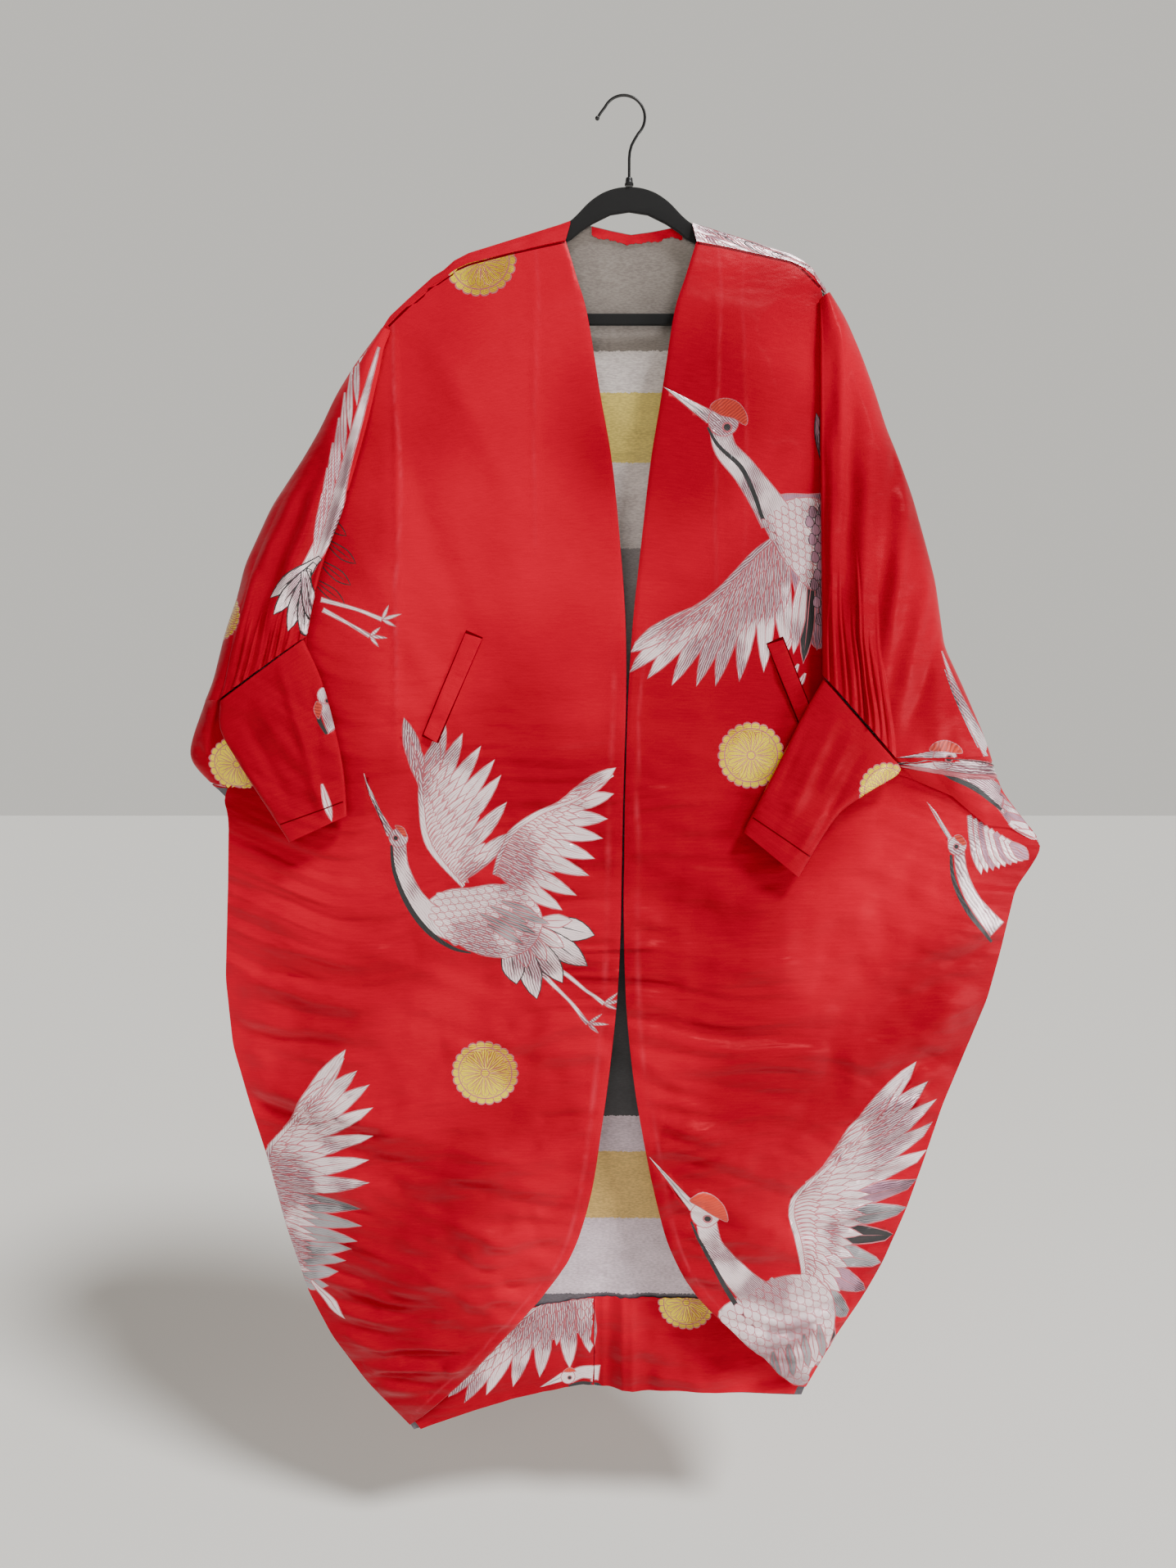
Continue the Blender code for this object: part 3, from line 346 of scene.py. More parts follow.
@dataclass(frozen=True)
class CoatForm:
    """The hanging coat's outline and how far its cloth stands from the hanger's plane.

    Each size is that of the cloth's middle surface, in millimetres.
    """

    cloth: float = 1.6
    seam: float = 0.3
    stem_x: float = 6.0
    front_depth: float = 30.0
    back_depth: float = 19.0
    fullness: float = 110.0
    fold_fade: float = 30.0
    slack_growth: float = 1.7
    neck_stand: float = 3.0
    ridge_radius: float = 4.2
    ridge_rise: float = 1.2
    closed_below: float = -262.0
    turn_fade: float = 40.0
    yoke_drop: tuple[float, float] = (21.0, 7.0)
    slack_from: float = -800.0
    slack_full: float = -880.0
    crease_fade: float = 12.0

    @property
    def lap(self) -> float:
        """From one cloth's middle to the next one's that lies on it."""
        return self.cloth + self.seam

    def outline(self, side: Side, z: Array | float) -> Array:
        """The x of the coat's edge at each height."""
        rows = LEFT_OUTLINE if side is Side.LEFT else RIGHT_OUTLINE
        return eased([r.z for r in rows], [r.x for r in rows], z)

    def arm_top(self, x: Array | float) -> Array:
        """Height of the hanger's arm."""
        return reading([a.out for a in ARMS], [a.top for a in ARMS], np.abs(x - self.stem_x))

    def ridge(self, x: Array | float) -> Array:
        """Height of the shoulder line: over the arms, then down the coat's outline.

        Args:
            x: Places across, in millimetres.

        Returns:
            The height at each place.
        """
        x = np.asarray(x, float)
        over = self.arm_top(x) + self.ridge_rise
        for side, rows in ((Side.LEFT, LEFT_OUTLINE), (Side.RIGHT, RIGHT_OUTLINE)):
            reach = self.stem_x + ARMS[-1].out * side.sign
            free = [Along(reach, float(self.arm_top(reach)) + self.ridge_rise)]
            free += [Along(r.x, r.z) for r in rows[:5] if abs(r.x) > abs(reach) + 3]
            past = (x - reach) * side.sign > 0
            over = np.where(past, reading([a.x for a in free], [a.z for a in free], x), over)
        return over

    def neck_z(self, x: Array | float) -> Array:
        """Height of the back neck's edge."""
        return reading([n.x for n in BACK_NECK], [n.z for n in BACK_NECK], x)

    def inset(self, x: Array, z: Array) -> Array:
        """How far each place lies from the outline's nearest point.

        Args:
            x: Places across, in millimetres.
            z: Places up, in millimetres.

        Returns:
            The distance at each place.
        """
        left = [(r.x, r.z) for r in LEFT_OUTLINE if r.z < -215][::-1]
        right = [(r.x, r.z) for r in RIGHT_OUTLINE if r.z < -215]
        over = [(v, float(self.ridge(v))) for v in (*range(-232, -56, 8), *range(76, 228, 8))]
        points = np.array(left + over + right, float)
        nearest = np.full(np.shape(x), np.inf)
        for (ax, az), (bx, bz) in zip(points[:-1], points[1:]):
            run_x, run_z = bx - ax, bz - az
            share = ((x - ax) * run_x + (z - az) * run_z) / (run_x**2 + run_z**2)
            share = np.clip(share, 0, 1)
            nearest = np.minimum(nearest, np.hypot(x - ax - share * run_x, z - az - share * run_z))
        return nearest

    def edge_radius(self, z: Array) -> Array:
        """Half the turn at the outline: round over the hanger, closed at the side seams."""
        share = np.clip((z - self.closed_below) / self.turn_fade, 0, 1)
        return mix(self.cloth / 2 + 0.25, self.ridge_radius, share)

    def hem_z(self, x: Array | float) -> Array:
        """Height of the back's hem."""
        return reading([h.x for h in BACK_HEM], [h.z for h in BACK_HEM], x)

    def deeper(self, z: Array, above: float = 1.0) -> Array:
        """How much folds deepen where the cloth hangs slack, from what they are above it."""
        return mix(above, self.slack_growth, smoothstep(self.slack_from, self.slack_full, z))

    def standing(self, x: Array, z: Array, depth: float, growth: Array | float,
                 folds: Sequence[Fold]) -> Array:
        """How far a side stands out: its turn at the outline, its fullness and large folds.

        Args:
            x: Places across, in millimetres.
            z: Places up, in millimetres.
            depth: The side's fullness at its middle.
            growth: How much its folds are deepened.
            folds: Its large folds.

        Returns:
            The distance from the hanger's plane.
        """
        away = self.inset(x, z)
        fade = 1 - np.exp(-away / self.fold_fade)
        full = 1 - np.exp(-away / self.fullness)
        return self.edge_radius(z) + depth * full + fade * growth * relief(folds, x, z)

    def creased(self, x: Array, z: Array, growth: Array | float, folds: Sequence[Fold],
                seeds: tuple[int, int]) -> Array:
        """Fine creases over a side's larger folds.

        Args:
            x: Places across, in millimetres.
            z: Places up, in millimetres.
            growth: How much the drawn creases are deepened.
            folds: The drawn creases.
            seeds: Which two fields of uneven swelling.

        Returns:
            Their height at each place.
        """
        fade = 1 - np.exp(-self.inset(x, z) / self.crease_fade)
        return fade * (growth * relief(folds, x, z) + 0.8 * drift(x, z, 95, seeds[0], 1.7)
                       + 0.35 * drift(x, z, 42, seeds[1], 2.2))

    def front(self, x: Array, z: Array) -> Array:
        """How far the fronts stand toward the viewer."""
        return self.standing(x, z, self.front_depth, self.deeper(z), FRONT_FOLDS)

    def back(self, x: Array, z: Array) -> Array:
        """How far the back stands away from the viewer."""
        stand = self.neck_stand * np.exp(-(((x - 8) / 60) ** 2) - ((z + 138) / 25) ** 2)
        return self.standing(x, z, self.back_depth, 1.0, BACK_FOLDS) + stand

    def front_creases(self, x: Array, z: Array) -> Array:
        """Fine creases of the fronts."""
        return self.creased(x, z, self.deeper(z, 1.3), FRONT_CREASES, (3, 8))

    def back_creases(self, x: Array, z: Array) -> Array:
        """Fine creases of the back."""
        return self.creased(x, z, 1.0, BACK_CREASES, (5, 9))


# Woven marks and the cloth they lie in.


class Weave(Enum):
    """The finishes that one piece of cloth can show, in the order of its material slots."""

    GROUND = 0
    REVERSE = 1
    SILVER = 2
    MAUVE = 3
    ROSE = 4
    BLACK = 5
    CAP = 6
    GOLD = 7
    GREY = 8
    # Painted shadow: dark satin along seams, under the welts and at the cuffs' hems.
    SEAM = 9


@dataclass(frozen=True)
class Mark:
    """One woven shape: its outline across and up, its threads, and the way they run."""

    points: tuple[tuple[float, float], ...]
    weave: Weave
    run: float = 0.0


class Facing(NamedTuple):
    """Where on a panel its right side is known, and whether it looks along -Y or +Y there."""

    row: int
    column: int
    sign: int


@dataclass
class Panel:
    """A piece of cloth as a grid of its middle points, with the marks woven in it."""

    grid: Array
    facing: Facing
    marks: Sequence[Mark] = ()
    thick: float = 1.1
    ground: Weave = Weave.GROUND
    faded: Callable[[Array, Array], Array] | None = None

    def __post_init__(self) -> None:
        """Measures the grid and finds its outward normals."""
        across = np.gradient(self.grid, axis=1)
        down = np.gradient(self.grid, axis=0)
        normal = np.cross(across, down)
        length = np.linalg.norm(normal, axis=2, keepdims=True)
        normal = normal / np.maximum(length, 1e-9)
        row, column, sign = self.facing
        self.turned = normal[row, column, 1] * sign < 0
        self.normal = -normal if self.turned else normal
        # How the grid's own directions run against a mark's, across and up.
        self.flip = np.sign((across[row, column, 0] + 1e-9, down[row, column, 2] + 1e-9))
        self.step = (float(np.median(np.linalg.norm(across, axis=2))),
                     float(np.median(np.linalg.norm(down, axis=2))))

    def lookup(self) -> BVHTree:
        """The grid's outer side as a tree of four-sided faces.

        Returns:
            The tree, its faces numbered row by row.
        """
        rows, columns, _ = self.grid.shape
        points = (self.grid + self.normal * self.thick / 2).reshape(-1, 3)
        index = np.arange(rows * columns).reshape(rows, columns)
        faces = np.stack([index[:-1, :-1], index[1:, :-1], index[1:, 1:], index[:-1, 1:]], -1)
        return BVHTree.FromPolygons(points.tolist(), faces.reshape(-1, 4).tolist())

    def place(self, tree: BVHTree, x: float, z: float) -> tuple[float, float, bool]:
        """The grid's column and row, with their fractions, under a place seen from its right side.

        Args:
            tree: What lookup returned.
            x: Place across.
            z: Place up.

        Returns:
            The column, the row, and whether the place lies on the panel at all.
        """
        sign = self.facing.sign
        hit, _, face, _ = tree.ray_cast(Vector((x, sign * 300, z)), Vector((0, -sign, 0)))
        on = hit is not None
        if not on:
            hit, _, face, _ = tree.find_nearest(Vector((x, sign * 25, z)))
            x, z = hit.x, hit.z
        columns = self.grid.shape[1] - 1
        row, column = divmod(face, columns)
        corner = self.grid[row, column]
        side = self.grid[row, column + 1] - corner
        drop = self.grid[row + 1, column] - corner
        size = side[0] * drop[2] - side[2] * drop[0]
        if abs(size) < 1e-9:
            return float(column), float(row), on
        dx, dz = x - corner[0], z - corner[2]
        over = (dx * drop[2] - dz * drop[0]) / size
        under = (side[0] * dz - side[2] * dx) / size
        return column + min(max(over, 0.0), 1.0), row + min(max(under, 0.0), 1.0), on

    def sampled(self, field: Array, column: Array, row: Array) -> Array:
        """A grid field read between its points.

        Args:
            field: A value for each grid point.
            column: Columns, with their fractions.
            row: Rows, with their fractions.

        Returns:
            The value at each place.
        """
        rows, columns = field.shape[:2]
        c = np.minimum(column.astype(int), columns - 2)
        r = np.minimum(row.astype(int), rows - 2)
        fc, fr = (column - c)[:, None], (row - r)[:, None]
        upper = mix(field[r, c], field[r, c + 1], fc)
        lower = mix(field[r + 1, c], field[r + 1, c + 1], fc)
        return mix(upper, lower, fr)

    def rings(self) -> dict[int, Array]:
        """Each mark's outline on the grid, in millimetres along its columns and rows.

        Returns:
            Each outline, by its mark's number.
        """
        tree = self.lookup()
        rings = {}
        for number, mark in enumerate(self.marks):
            spots = [self.place(tree, x, z) for x, z in mark.points]
            if sum(on for _, _, on in spots) > 1:
                rings[number] = np.array([(c, r) for c, r, _ in spots]) * self.step
        return rings

    def woven(self) -> tuple[Array, list[list[int]], Array]:
        """The grid cut along every mark's outline, except where another mark covers it.

        Returns:
            Column and row of each point, the triangles, and each triangle's mark or -1.
        """
        rows, columns, _ = self.grid.shape
        du, dv = self.step
        flat = [Vector((c * du, r * dv)) for r in range(rows) for c in range(columns)]
        rings = self.rings() if self.marks else {}
        edges = []
        if rings:
            corners = np.concatenate(list(rings.values()))
            ahead = np.concatenate([np.roll(ring, -1, 0) for ring in rings.values()])
            middles = (corners + ahead) / 2
            owner = np.concatenate([np.full(len(ring), k) for k, ring in rings.items()])
            covered = np.zeros((2, len(owner)), bool)
            for number, ring in rings.items():
                earlier = int(np.searchsorted(owner, number))
                for kind, points in enumerate((corners, middles)):
                    covered[kind, :earlier] |= enclosed(ring, points[:earlier])
            start = 0
            for ring in rings.values():
                size = len(ring)
                used = {}
                for k in range(size):
                    pair = (k, (k + 1) % size)
                    if covered[0, start + pair[0]] and covered[0, start + pair[1]] and covered[
                            1, start + k]:
                        continue
                    for corner in pair:
                        if corner not in used:
                            used[corner] = len(flat)
                            flat.append(Vector(ring[corner]))
                    edges.append((used[pair[0]], used[pair[1]]))
                start += size
        points, _, faces, *_ = delaunay_2d_cdt(flat, edges, [], 0, 1e-4, False)
        # A face that kept a fourth corner is split from its first.
        faces = [(f[0], b, c) for f in faces for b, c in zip(f[1:-1], f[2:])]
        found = np.array([tuple(p) for p in points], float)
        middle = found[np.array(faces)].mean(1)
        owners = np.full(len(faces), -1)
        order = np.argsort(middle[:, 0])
        ordered = middle[order]
        for number, ring in rings.items():
            low, high = np.searchsorted(ordered[:, 0], (ring[:, 0].min(), ring[:, 0].max()))
            owners[order[low:high][enclosed(ring, ordered[low:high])]] = number
        found /= (du, dv)
        found[:, 0] = np.clip(found[:, 0], 0, columns - 1)
        found[:, 1] = np.clip(found[:, 1], 0, rows - 1)
        return found, faces, owners


def enclosed(ring: Array, points: Array) -> Array:
    """Which points lie inside a closed outline.

    Args:
        ring: The outline's corners.
        points: The points to test.

    Returns:
        True for each point inside.
    """
    low, high = ring.min(0), ring.max(0)
    near = np.nonzero(((points > low) & (points < high)).all(1))[0]
    result = np.zeros(len(points), bool)
    if len(near):
        px, pz = points[near, 0, None], points[near, 1, None]
        x, z = ring[:, 0], ring[:, 1]
        nx, nz = np.roll(x, -1), np.roll(z, -1)
        crossing = (z > pz) != (nz > pz)
        at = x + (nx - x) * (pz - z) / np.where(nz == z, 1, nz - z)
        result[near] = np.sum(crossing & (px < at), 1) % 2 == 1
    return result


class ClothBuilder:
    """Gathers panels into one thin closed piece of cloth."""

    def __init__(self) -> None:
        """Starts with nothing in it."""
        self.points: list[Array] = []
        self.faces: list[Array] = []
        self.slots: list[Array] = []
        self.grain: list[Array] = []
        self.strokes: list[Array] = []
        self.fades: list[Array] = []
        self.rims: list[Array] = []
        self.count = 0

    def add(self, panel: Panel) -> None:
        """Adds a panel: its marked outer side, its reverse and the rim between them.

        Args:
            panel: The panel.
        """
        found, triangles, owners = panel.woven()
        middle = panel.sampled(panel.grid, found[:, 0], found[:, 1])
        normal = panel.sampled(panel.normal, found[:, 0], found[:, 1])
        half = normal * panel.thick / 2
        number, start = len(found), self.count
        self.points += [middle + half, middle - half]
        faded = panel.faded(middle[:, 0], middle[:, 2]) if panel.faded else np.zeros(number)
        self.fades += [faded, faded]
        uv = found * panel.step * MM
        front = np.array(triangles)
        front = front[:, ::-1] if panel.turned else front
        weaves = np.array([m.weave.value for m in panel.marks] + [panel.ground.value])
        runs = np.array([m.run for m in panel.marks] + [0.0])[owners]
        self._faces(front + start, weaves[owners], uv[front],
                    turned((uv * panel.flip)[front], runs))
        behind = front[:, ::-1]
        self._faces(behind + start + number, np.full(len(front), Weave.REVERSE.value), uv[behind],
                    uv[behind])
        pairs = np.concatenate([front[:, [0, 1]], front[:, [1, 2]], front[:, [2, 0]]])
        keys = np.sort(pairs, 1) @ (number, 1)
        _, where, counts = np.unique(keys, return_index=True, return_counts=True)
        rim = pairs[where[counts == 1]]
        a, b = rim[:, 0], rim[:, 1]
        for face in ((b, a, a + number), (b, a + number, b + number)):
            corners = np.stack(face, 1)
            place = uv[corners % number]
            self._faces(corners + start, np.full(len(rim), Weave.GROUND.value), place, place)
        self.rims += [rim + start, rim + start + number]
        self.count += number * 2

    def _faces(self, faces: Array, slots: Array, grain: Array, strokes: Array) -> None:
        """Keeps some triangles with their slots and their two maps.

        Args:
            faces: Three point numbers each.
            slots: Each one's material slot.
            grain: Its corners on the cloth's map.
            strokes: Its corners on the marks' map.
        """
        self.faces.append(faces)
        self.slots.append(slots)
        self.grain.append(grain)
        self.strokes.append(strokes)

    def finish(self, name: str, materials: Sequence[bpy.types.Material]) -> bpy.types.Object:
        """Makes the object.

        Args:
            name: The piece's name.
            materials: One for each Weave, in order.

        Returns:
            The piece, linked to the scene.
        """
        mesh = bpy.data.meshes.new(name)
        points, faces = np.concatenate(self.points) * MM, np.concatenate(self.faces)
        mesh.vertices.add(len(points))
        mesh.vertices.foreach_set("co", points.astype(np.float32).ravel())
        mesh.loops.add(faces.size)
        mesh.loops.foreach_set("vertex_index", faces.astype(np.int32).ravel())
        mesh.polygons.add(len(faces))
        mesh.polygons.foreach_set("loop_start", np.arange(0, faces.size, 3, dtype=np.int32))
        mesh.polygons.foreach_set("material_index",
                                  np.concatenate(self.slots).astype(np.int32))
        mesh.update(calc_edges=True)
        mesh.polygons.foreach_set("use_smooth", np.ones(len(faces), bool))
        for title, corners in (("grain", self.grain), ("strokes", self.strokes)):
            layer = mesh.uv_layers.new(name=title)
            layer.data.foreach_set("uv", np.concatenate(corners).astype(np.float32).ravel())
        fade = mesh.attributes.new("fade", "FLOAT", "POINT")
        fade.data.foreach_set("value", np.concatenate(self.fades).astype(np.float32))
        ends = np.empty(len(mesh.edges) * 2, np.int32)
        mesh.edges.foreach_get("vertices", ends)
        keys = np.sort(ends.reshape(-1, 2), 1).astype(np.int64) @ (self.count, 1)
        rim = np.sort(np.concatenate(self.rims), 1) @ (self.count, 1)
        mesh.edges.foreach_set("use_edge_sharp", np.isin(keys, rim))
        for material in materials:
            mesh.materials.append(material)
        return linked(bpy.data.objects.new(name, mesh))


def turned(corners: Array, runs: Array) -> Array:
    """Each triangle's map turned, so that its own direction lies along the first axis.

    Args:
        corners: Each triangle's three places on its map.
        runs: The angle of each one's threads.

    Returns:
        The turned places.
    """
    c, s = np.cos(runs)[:, None], np.sin(runs)[:, None]
    u, v = corners[..., 0], corners[..., 1]
    return np.stack([u * c + v * s, v * c - u * s], -1)


def linked(obj: bpy.types.Object) -> bpy.types.Object:
    """Links an object to the scene and returns it."""
    bpy.context.scene.collection.objects.link(obj)
    return obj


def placed(obj: bpy.types.Object, nodes: Sequence[str]) -> bpy.types.Object:
    """Makes a piece ride on the coat and stand for its solids, and reports it.

    Args:
        obj: The piece.
        nodes: The solids it replaces.

    Returns:
        The same piece.
    """
    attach(obj, "root")
    if nodes:
        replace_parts(obj, *nodes)
    count = len(obj.data.polygons) if obj.type == "MESH" else 0
    LOG.info("%s: %d faces", obj.name, count)
    return obj


# The coat's pieces.


@dataclass
class Piece:
    """What every sewn piece of the coat shares: its form, its name and the way it is kept."""

    form: CoatForm
    finishes: Sequence[bpy.types.Material]

    def kept(self, panels: Sequence[Panel], name: str, slot: str) -> bpy.types.Object:
        """Makes one object of some panels, standing for the solid of the same name.

        Args:
            panels: Its panels.
            name: The solid's name.
            slot: A word for its finish, added to its name.

        Returns:
            The piece.
        """
        builder = ClothBuilder()
        for panel in panels:
            builder.add(panel)
        return placed(builder.finish(f"{name}_{slot}", self.finishes), [name])


def front_pulls(side: Side) -> list[Fold]:
    """Slanting pulls from a front's two edges, where its seams hold more cloth than they need.

    Args:
        side: Which half of the coat.

    Returns:
        The pulls.
    """
    dice = np.random.RandomState(21 if side is Side.LEFT else 22)
    folds = []
    for at_edge, first, last in ((True, 0.26, 0.93), (False, 0.56, 0.96)):
        down, turn = first, 1
        while down < last:
            edge_x, edge_z, side_x, side_z = through(FRONTS[side], down)
            if not at_edge:
                edge_x, edge_z, side_x, side_z = side_x, side_z, edge_x, edge_z
            run = np.array((side_x - edge_x, side_z - edge_z))
            run /= np.hypot(*run)
            start = dice.uniform(2, 14)
            length = dice.uniform(45, 130) * (1.0 if at_edge else 1.25)
            lean = dice.uniform(-6, 22) + (10 if down > 0.6 else 0)
            a = (edge_x + run[0] * start, edge_z + run[1] * start)
            b = (edge_x + run[0] * (start + length), edge_z + run[1] * (start + length) - lean)
            rise = dice.uniform(1.9, 4.4) * (0.2 + 0.8 * smoothstep(0.3, 0.52, down)) * turn
            folds.append(Fold(*a, *b, dice.uniform(5.4, 8.6), float(rise)))
            down += dice.uniform(0.007, 0.017)
            turn = -turn
    return folds


@dataclass
class Front(Piece):
    """One front, from the shoulder seam to the hem, with the design woven in it."""

    side: Side
    marks: Sequence[Mark] = ()
    rows: int = 270
    columns: int = 88
    edge_roll: float = 1.6

    def corners(self) -> tuple[Array, Array]:
        """Places across and up of the front's grid.

        Returns:
            Places across and places up, a row of the grid in each row.
        """
        table = FRONTS[self.side]
        down = np.linspace(0, 1, self.rows)[:, None]
        share = np.linspace(0, 1, self.columns)[None, :]
        edge_x, edge_z, side_x, side_z = (v[:, None] for v in through(table, down[:, 0]).T)
        free = down >= FRONT_ARMHOLE_ROWS[self.side] / (len(table) - 1)
        side_x = np.where(free, self.form.outline(self.side, side_z), side_x)
        x, z = mix(edge_x, side_x, share), mix(edge_z, side_z, share)
        seam = mix(table[0].edge_x, table[0].side_x, share)
        drop = mix(*self.form.yoke_drop, share**0.8)
        top = self.form.ridge(seam) - drop - self.form.seam
        straight = mix(table[0].edge_z, table[0].side_z, share)
        return x, z + (top - straight) * np.maximum(0, 1 - down * 6) ** 2

    def grid(self) -> Array:
        """The front's middle surface, creased and puckered.

        Returns:
            The middle points.
        """
        x, z = self.corners()
        depth = self.form.front(x, z) + self.form.front_creases(x, z)
        depth += relief(front_pulls(self.side), x, z)
        # The edge is turned under over a facing, so it rolls back a little.
        share = np.linspace(0, 1, self.columns)[None, :]
        depth -= self.edge_roll * np.exp(-share * 90)
        return np.stack([x, -depth, z], -1)

    def faded(self, x: Array, z: Array) -> Array:
        """How pale old pressed lines are, beside the edge and down the front.

        Args:
            x: Places across, in millimetres.
            z: Places up, in millimetres.

        Returns:
            From 0 where the cloth keeps its colour to 1 where it is palest.
        """
        down = np.linspace(0, 1, 60)
        edge = through(FRONTS[self.side], down)
        edge_x = reading(edge[:, 1], edge[:, 0], z)
        off = (x - edge_x) * self.side.sign
        wander = 2.5 * drift(x * 0, z, 260, 31) + 1.2 * drift(x * 0, z, 90, 32)
        lines = 0.75 * np.exp(-((off - 13 - wander) / 1.5) ** 2) * smoothstep(-520, -640, z)
        if self.side is Side.LEFT:
            crease = -246 + 4 * np.sin(z / 88) + 2 * np.sin(z / 37)
            lines += 0.9 * np.exp(-((x - crease) / 1.7) ** 2) * smoothstep(-690, -560, z)
            lines += 0.35 * np.exp(-((x + 94 - wander) / 1.5) ** 2) * smoothstep(-520, -400, z)
        else:
            lines += 0.45 * np.exp(-((x - 101 - wander) / 1.6) ** 2) * smoothstep(-620, -420, z)
            lines += 0.3 * np.exp(-((x - 130 + wander) / 1.6) ** 2) * smoothstep(-560, -420, z)
        return np.clip(lines * (0.7 + 0.3 * drift(x, z, 46, 33)), 0, 1)

    def build(self) -> bpy.types.Object:
        """Makes the front.

        Returns:
            The piece.
        """
        panel = Panel(self.grid(), Facing(self.rows // 2, self.columns // 2, -1), self.marks,
                      faded=self.faded)
        return self.kept([panel], f"front_{self.side.value}", "brocade")


class SleeveRow(NamedTuple):
    """One section of a sleeve's front, from its turned edge out to its top line."""

    fold_x: float
    fold_z: float
    depth: float
    line_z: float


class Under(NamedTuple):
    """One point of the sleeve's lower edge, at a share of its width."""

    share: float
    x: float
    z: float


@dataclass(frozen=True)
class SleeveCut:
    """A sleeve's own sizes: its rows, the gathered ring over the cuff and the slack under it."""

    rows: tuple[SleeveRow, ...]
    ring_out: tuple[float, float]
    ring_share: float
    ring_depth: float
    waves: float
    under_z: tuple[float, ...]
    under_edge: tuple[Under, ...]
    armhole: tuple[tuple[float, float], ...]
    gather_from: float
    ring_half: float = 7.0


SLEEVES = {
    Side.LEFT: SleeveCut(
        rows=(
            SleeveRow(-251, -243, 10.0, -241), SleeveRow(-259, -265, 13.5, -266),
            SleeveRow(-264, -290, 16.0, -300), SleeveRow(-279, -351, 20.0, -362),
            SleeveRow(-302, -428, 24.0, -440), SleeveRow(-321, -480, 28.0, -500),
            SleeveRow(-336, -532, 31.0, -572), SleeveRow(-344, -571, 34.0, -640),
        ),
        ring_out=(-440, -639), ring_share=0.84, ring_depth=34.0, waves=8,
        under_z=(-640, -668, -703, -722, -737),
        under_edge=(Under(0, -360, -733), Under(0.45, -417, -738),
                    Under(0.84, -446, -738), Under(1, -457, -737)),
        armhole=((-256, -237), (-262, -262), (-275, -300), (-292, -362), (-310, -440),
                 (-328, -510), (-350, -580), (-378, -640), (-420, -702), (-446, -750)),
        gather_from=0.86,
    ),
    Side.RIGHT: SleeveCut(
        rows=(
            SleeveRow(211, -211, 13.0, -203), SleeveRow(212, -250, 18.0, -240),
            SleeveRow(212.5, -300, 21.0, -300), SleeveRow(213, -370, 26.0, -374),
            SleeveRow(214, -440, 30.0, -450), SleeveRow(215, -510, 33.0, -530),
            SleeveRow(216, -565, 36.0, -615), SleeveRow(217, -613, 38.0, -702),
        ),
        ring_out=(297, -702), ring_share=0.5, ring_depth=38.0, waves=9,
        under_z=(-702, -732, -760, -785, -802),
        under_edge=(Under(0, 260, -708), Under(0.5, 322, -727), Under(0.66, 367, -746),
                    Under(0.84, 407, -779), Under(0.92, 436, -783), Under(1, 473, -802)),
        armhole=((217, -200), (222, -240), (228, -300), (236, -380), (246, -460),
                 (260, -540), (285, -620), (325, -690), (390, -755), (470, -806)),
        gather_from=0.74,
    ),
}
ARMHOLE_SPLIT = 11 / 15  # the share of an armhole beside the upper sleeve

SLEEVE_FOLDS = {
    Side.LEFT: (
        Fold(-262, -300, -345, -600, 9, 2.6), Fold(-285, -330, -372, -612, 10, -2.4),
        Fold(-300, -350, -395, -590, 9, 2.6), Fold(-330, -390, -412, -600, 8, -2.0),
        Fold(-345, -400, -425, -560, 8, 1.8), Fold(-300, -520, -352, -610, 7, 2.2),
        Fold(-275, -270, -300, -430, 8, 1.6), Fold(-395, -500, -430, -620, 8, 2.2),
    ),
    Side.RIGHT: (
        Fold(232, -240, 228, -520, 7, 3.0), Fold(246, -300, 240, -560, 8, -2.6),
        Fold(222, -330, 222, -590, 5, 2.2), Fold(262, -360, 252, -620, 8, 2.6),
        Fold(300, -330, 262, -640, 10, -2.4), Fold(310, -400, 275, -660, 9, 2.8),
        Fold(335, -500, 290, -680, 9, 2.8), Fold(350, -560, 300, -700, 8, -2.4),
        Fold(375, -640, 312, -712, 8, 2.6), Fold(395, -690, 330, -728, 7, -1.8),
        Fold(290, -330, 315, -390, 5, 1.6), Fold(320, -420, 300, -350, 5, -1.4),
        Fold(270, -372, 330, -368, 4, 1.2),
    ),
}


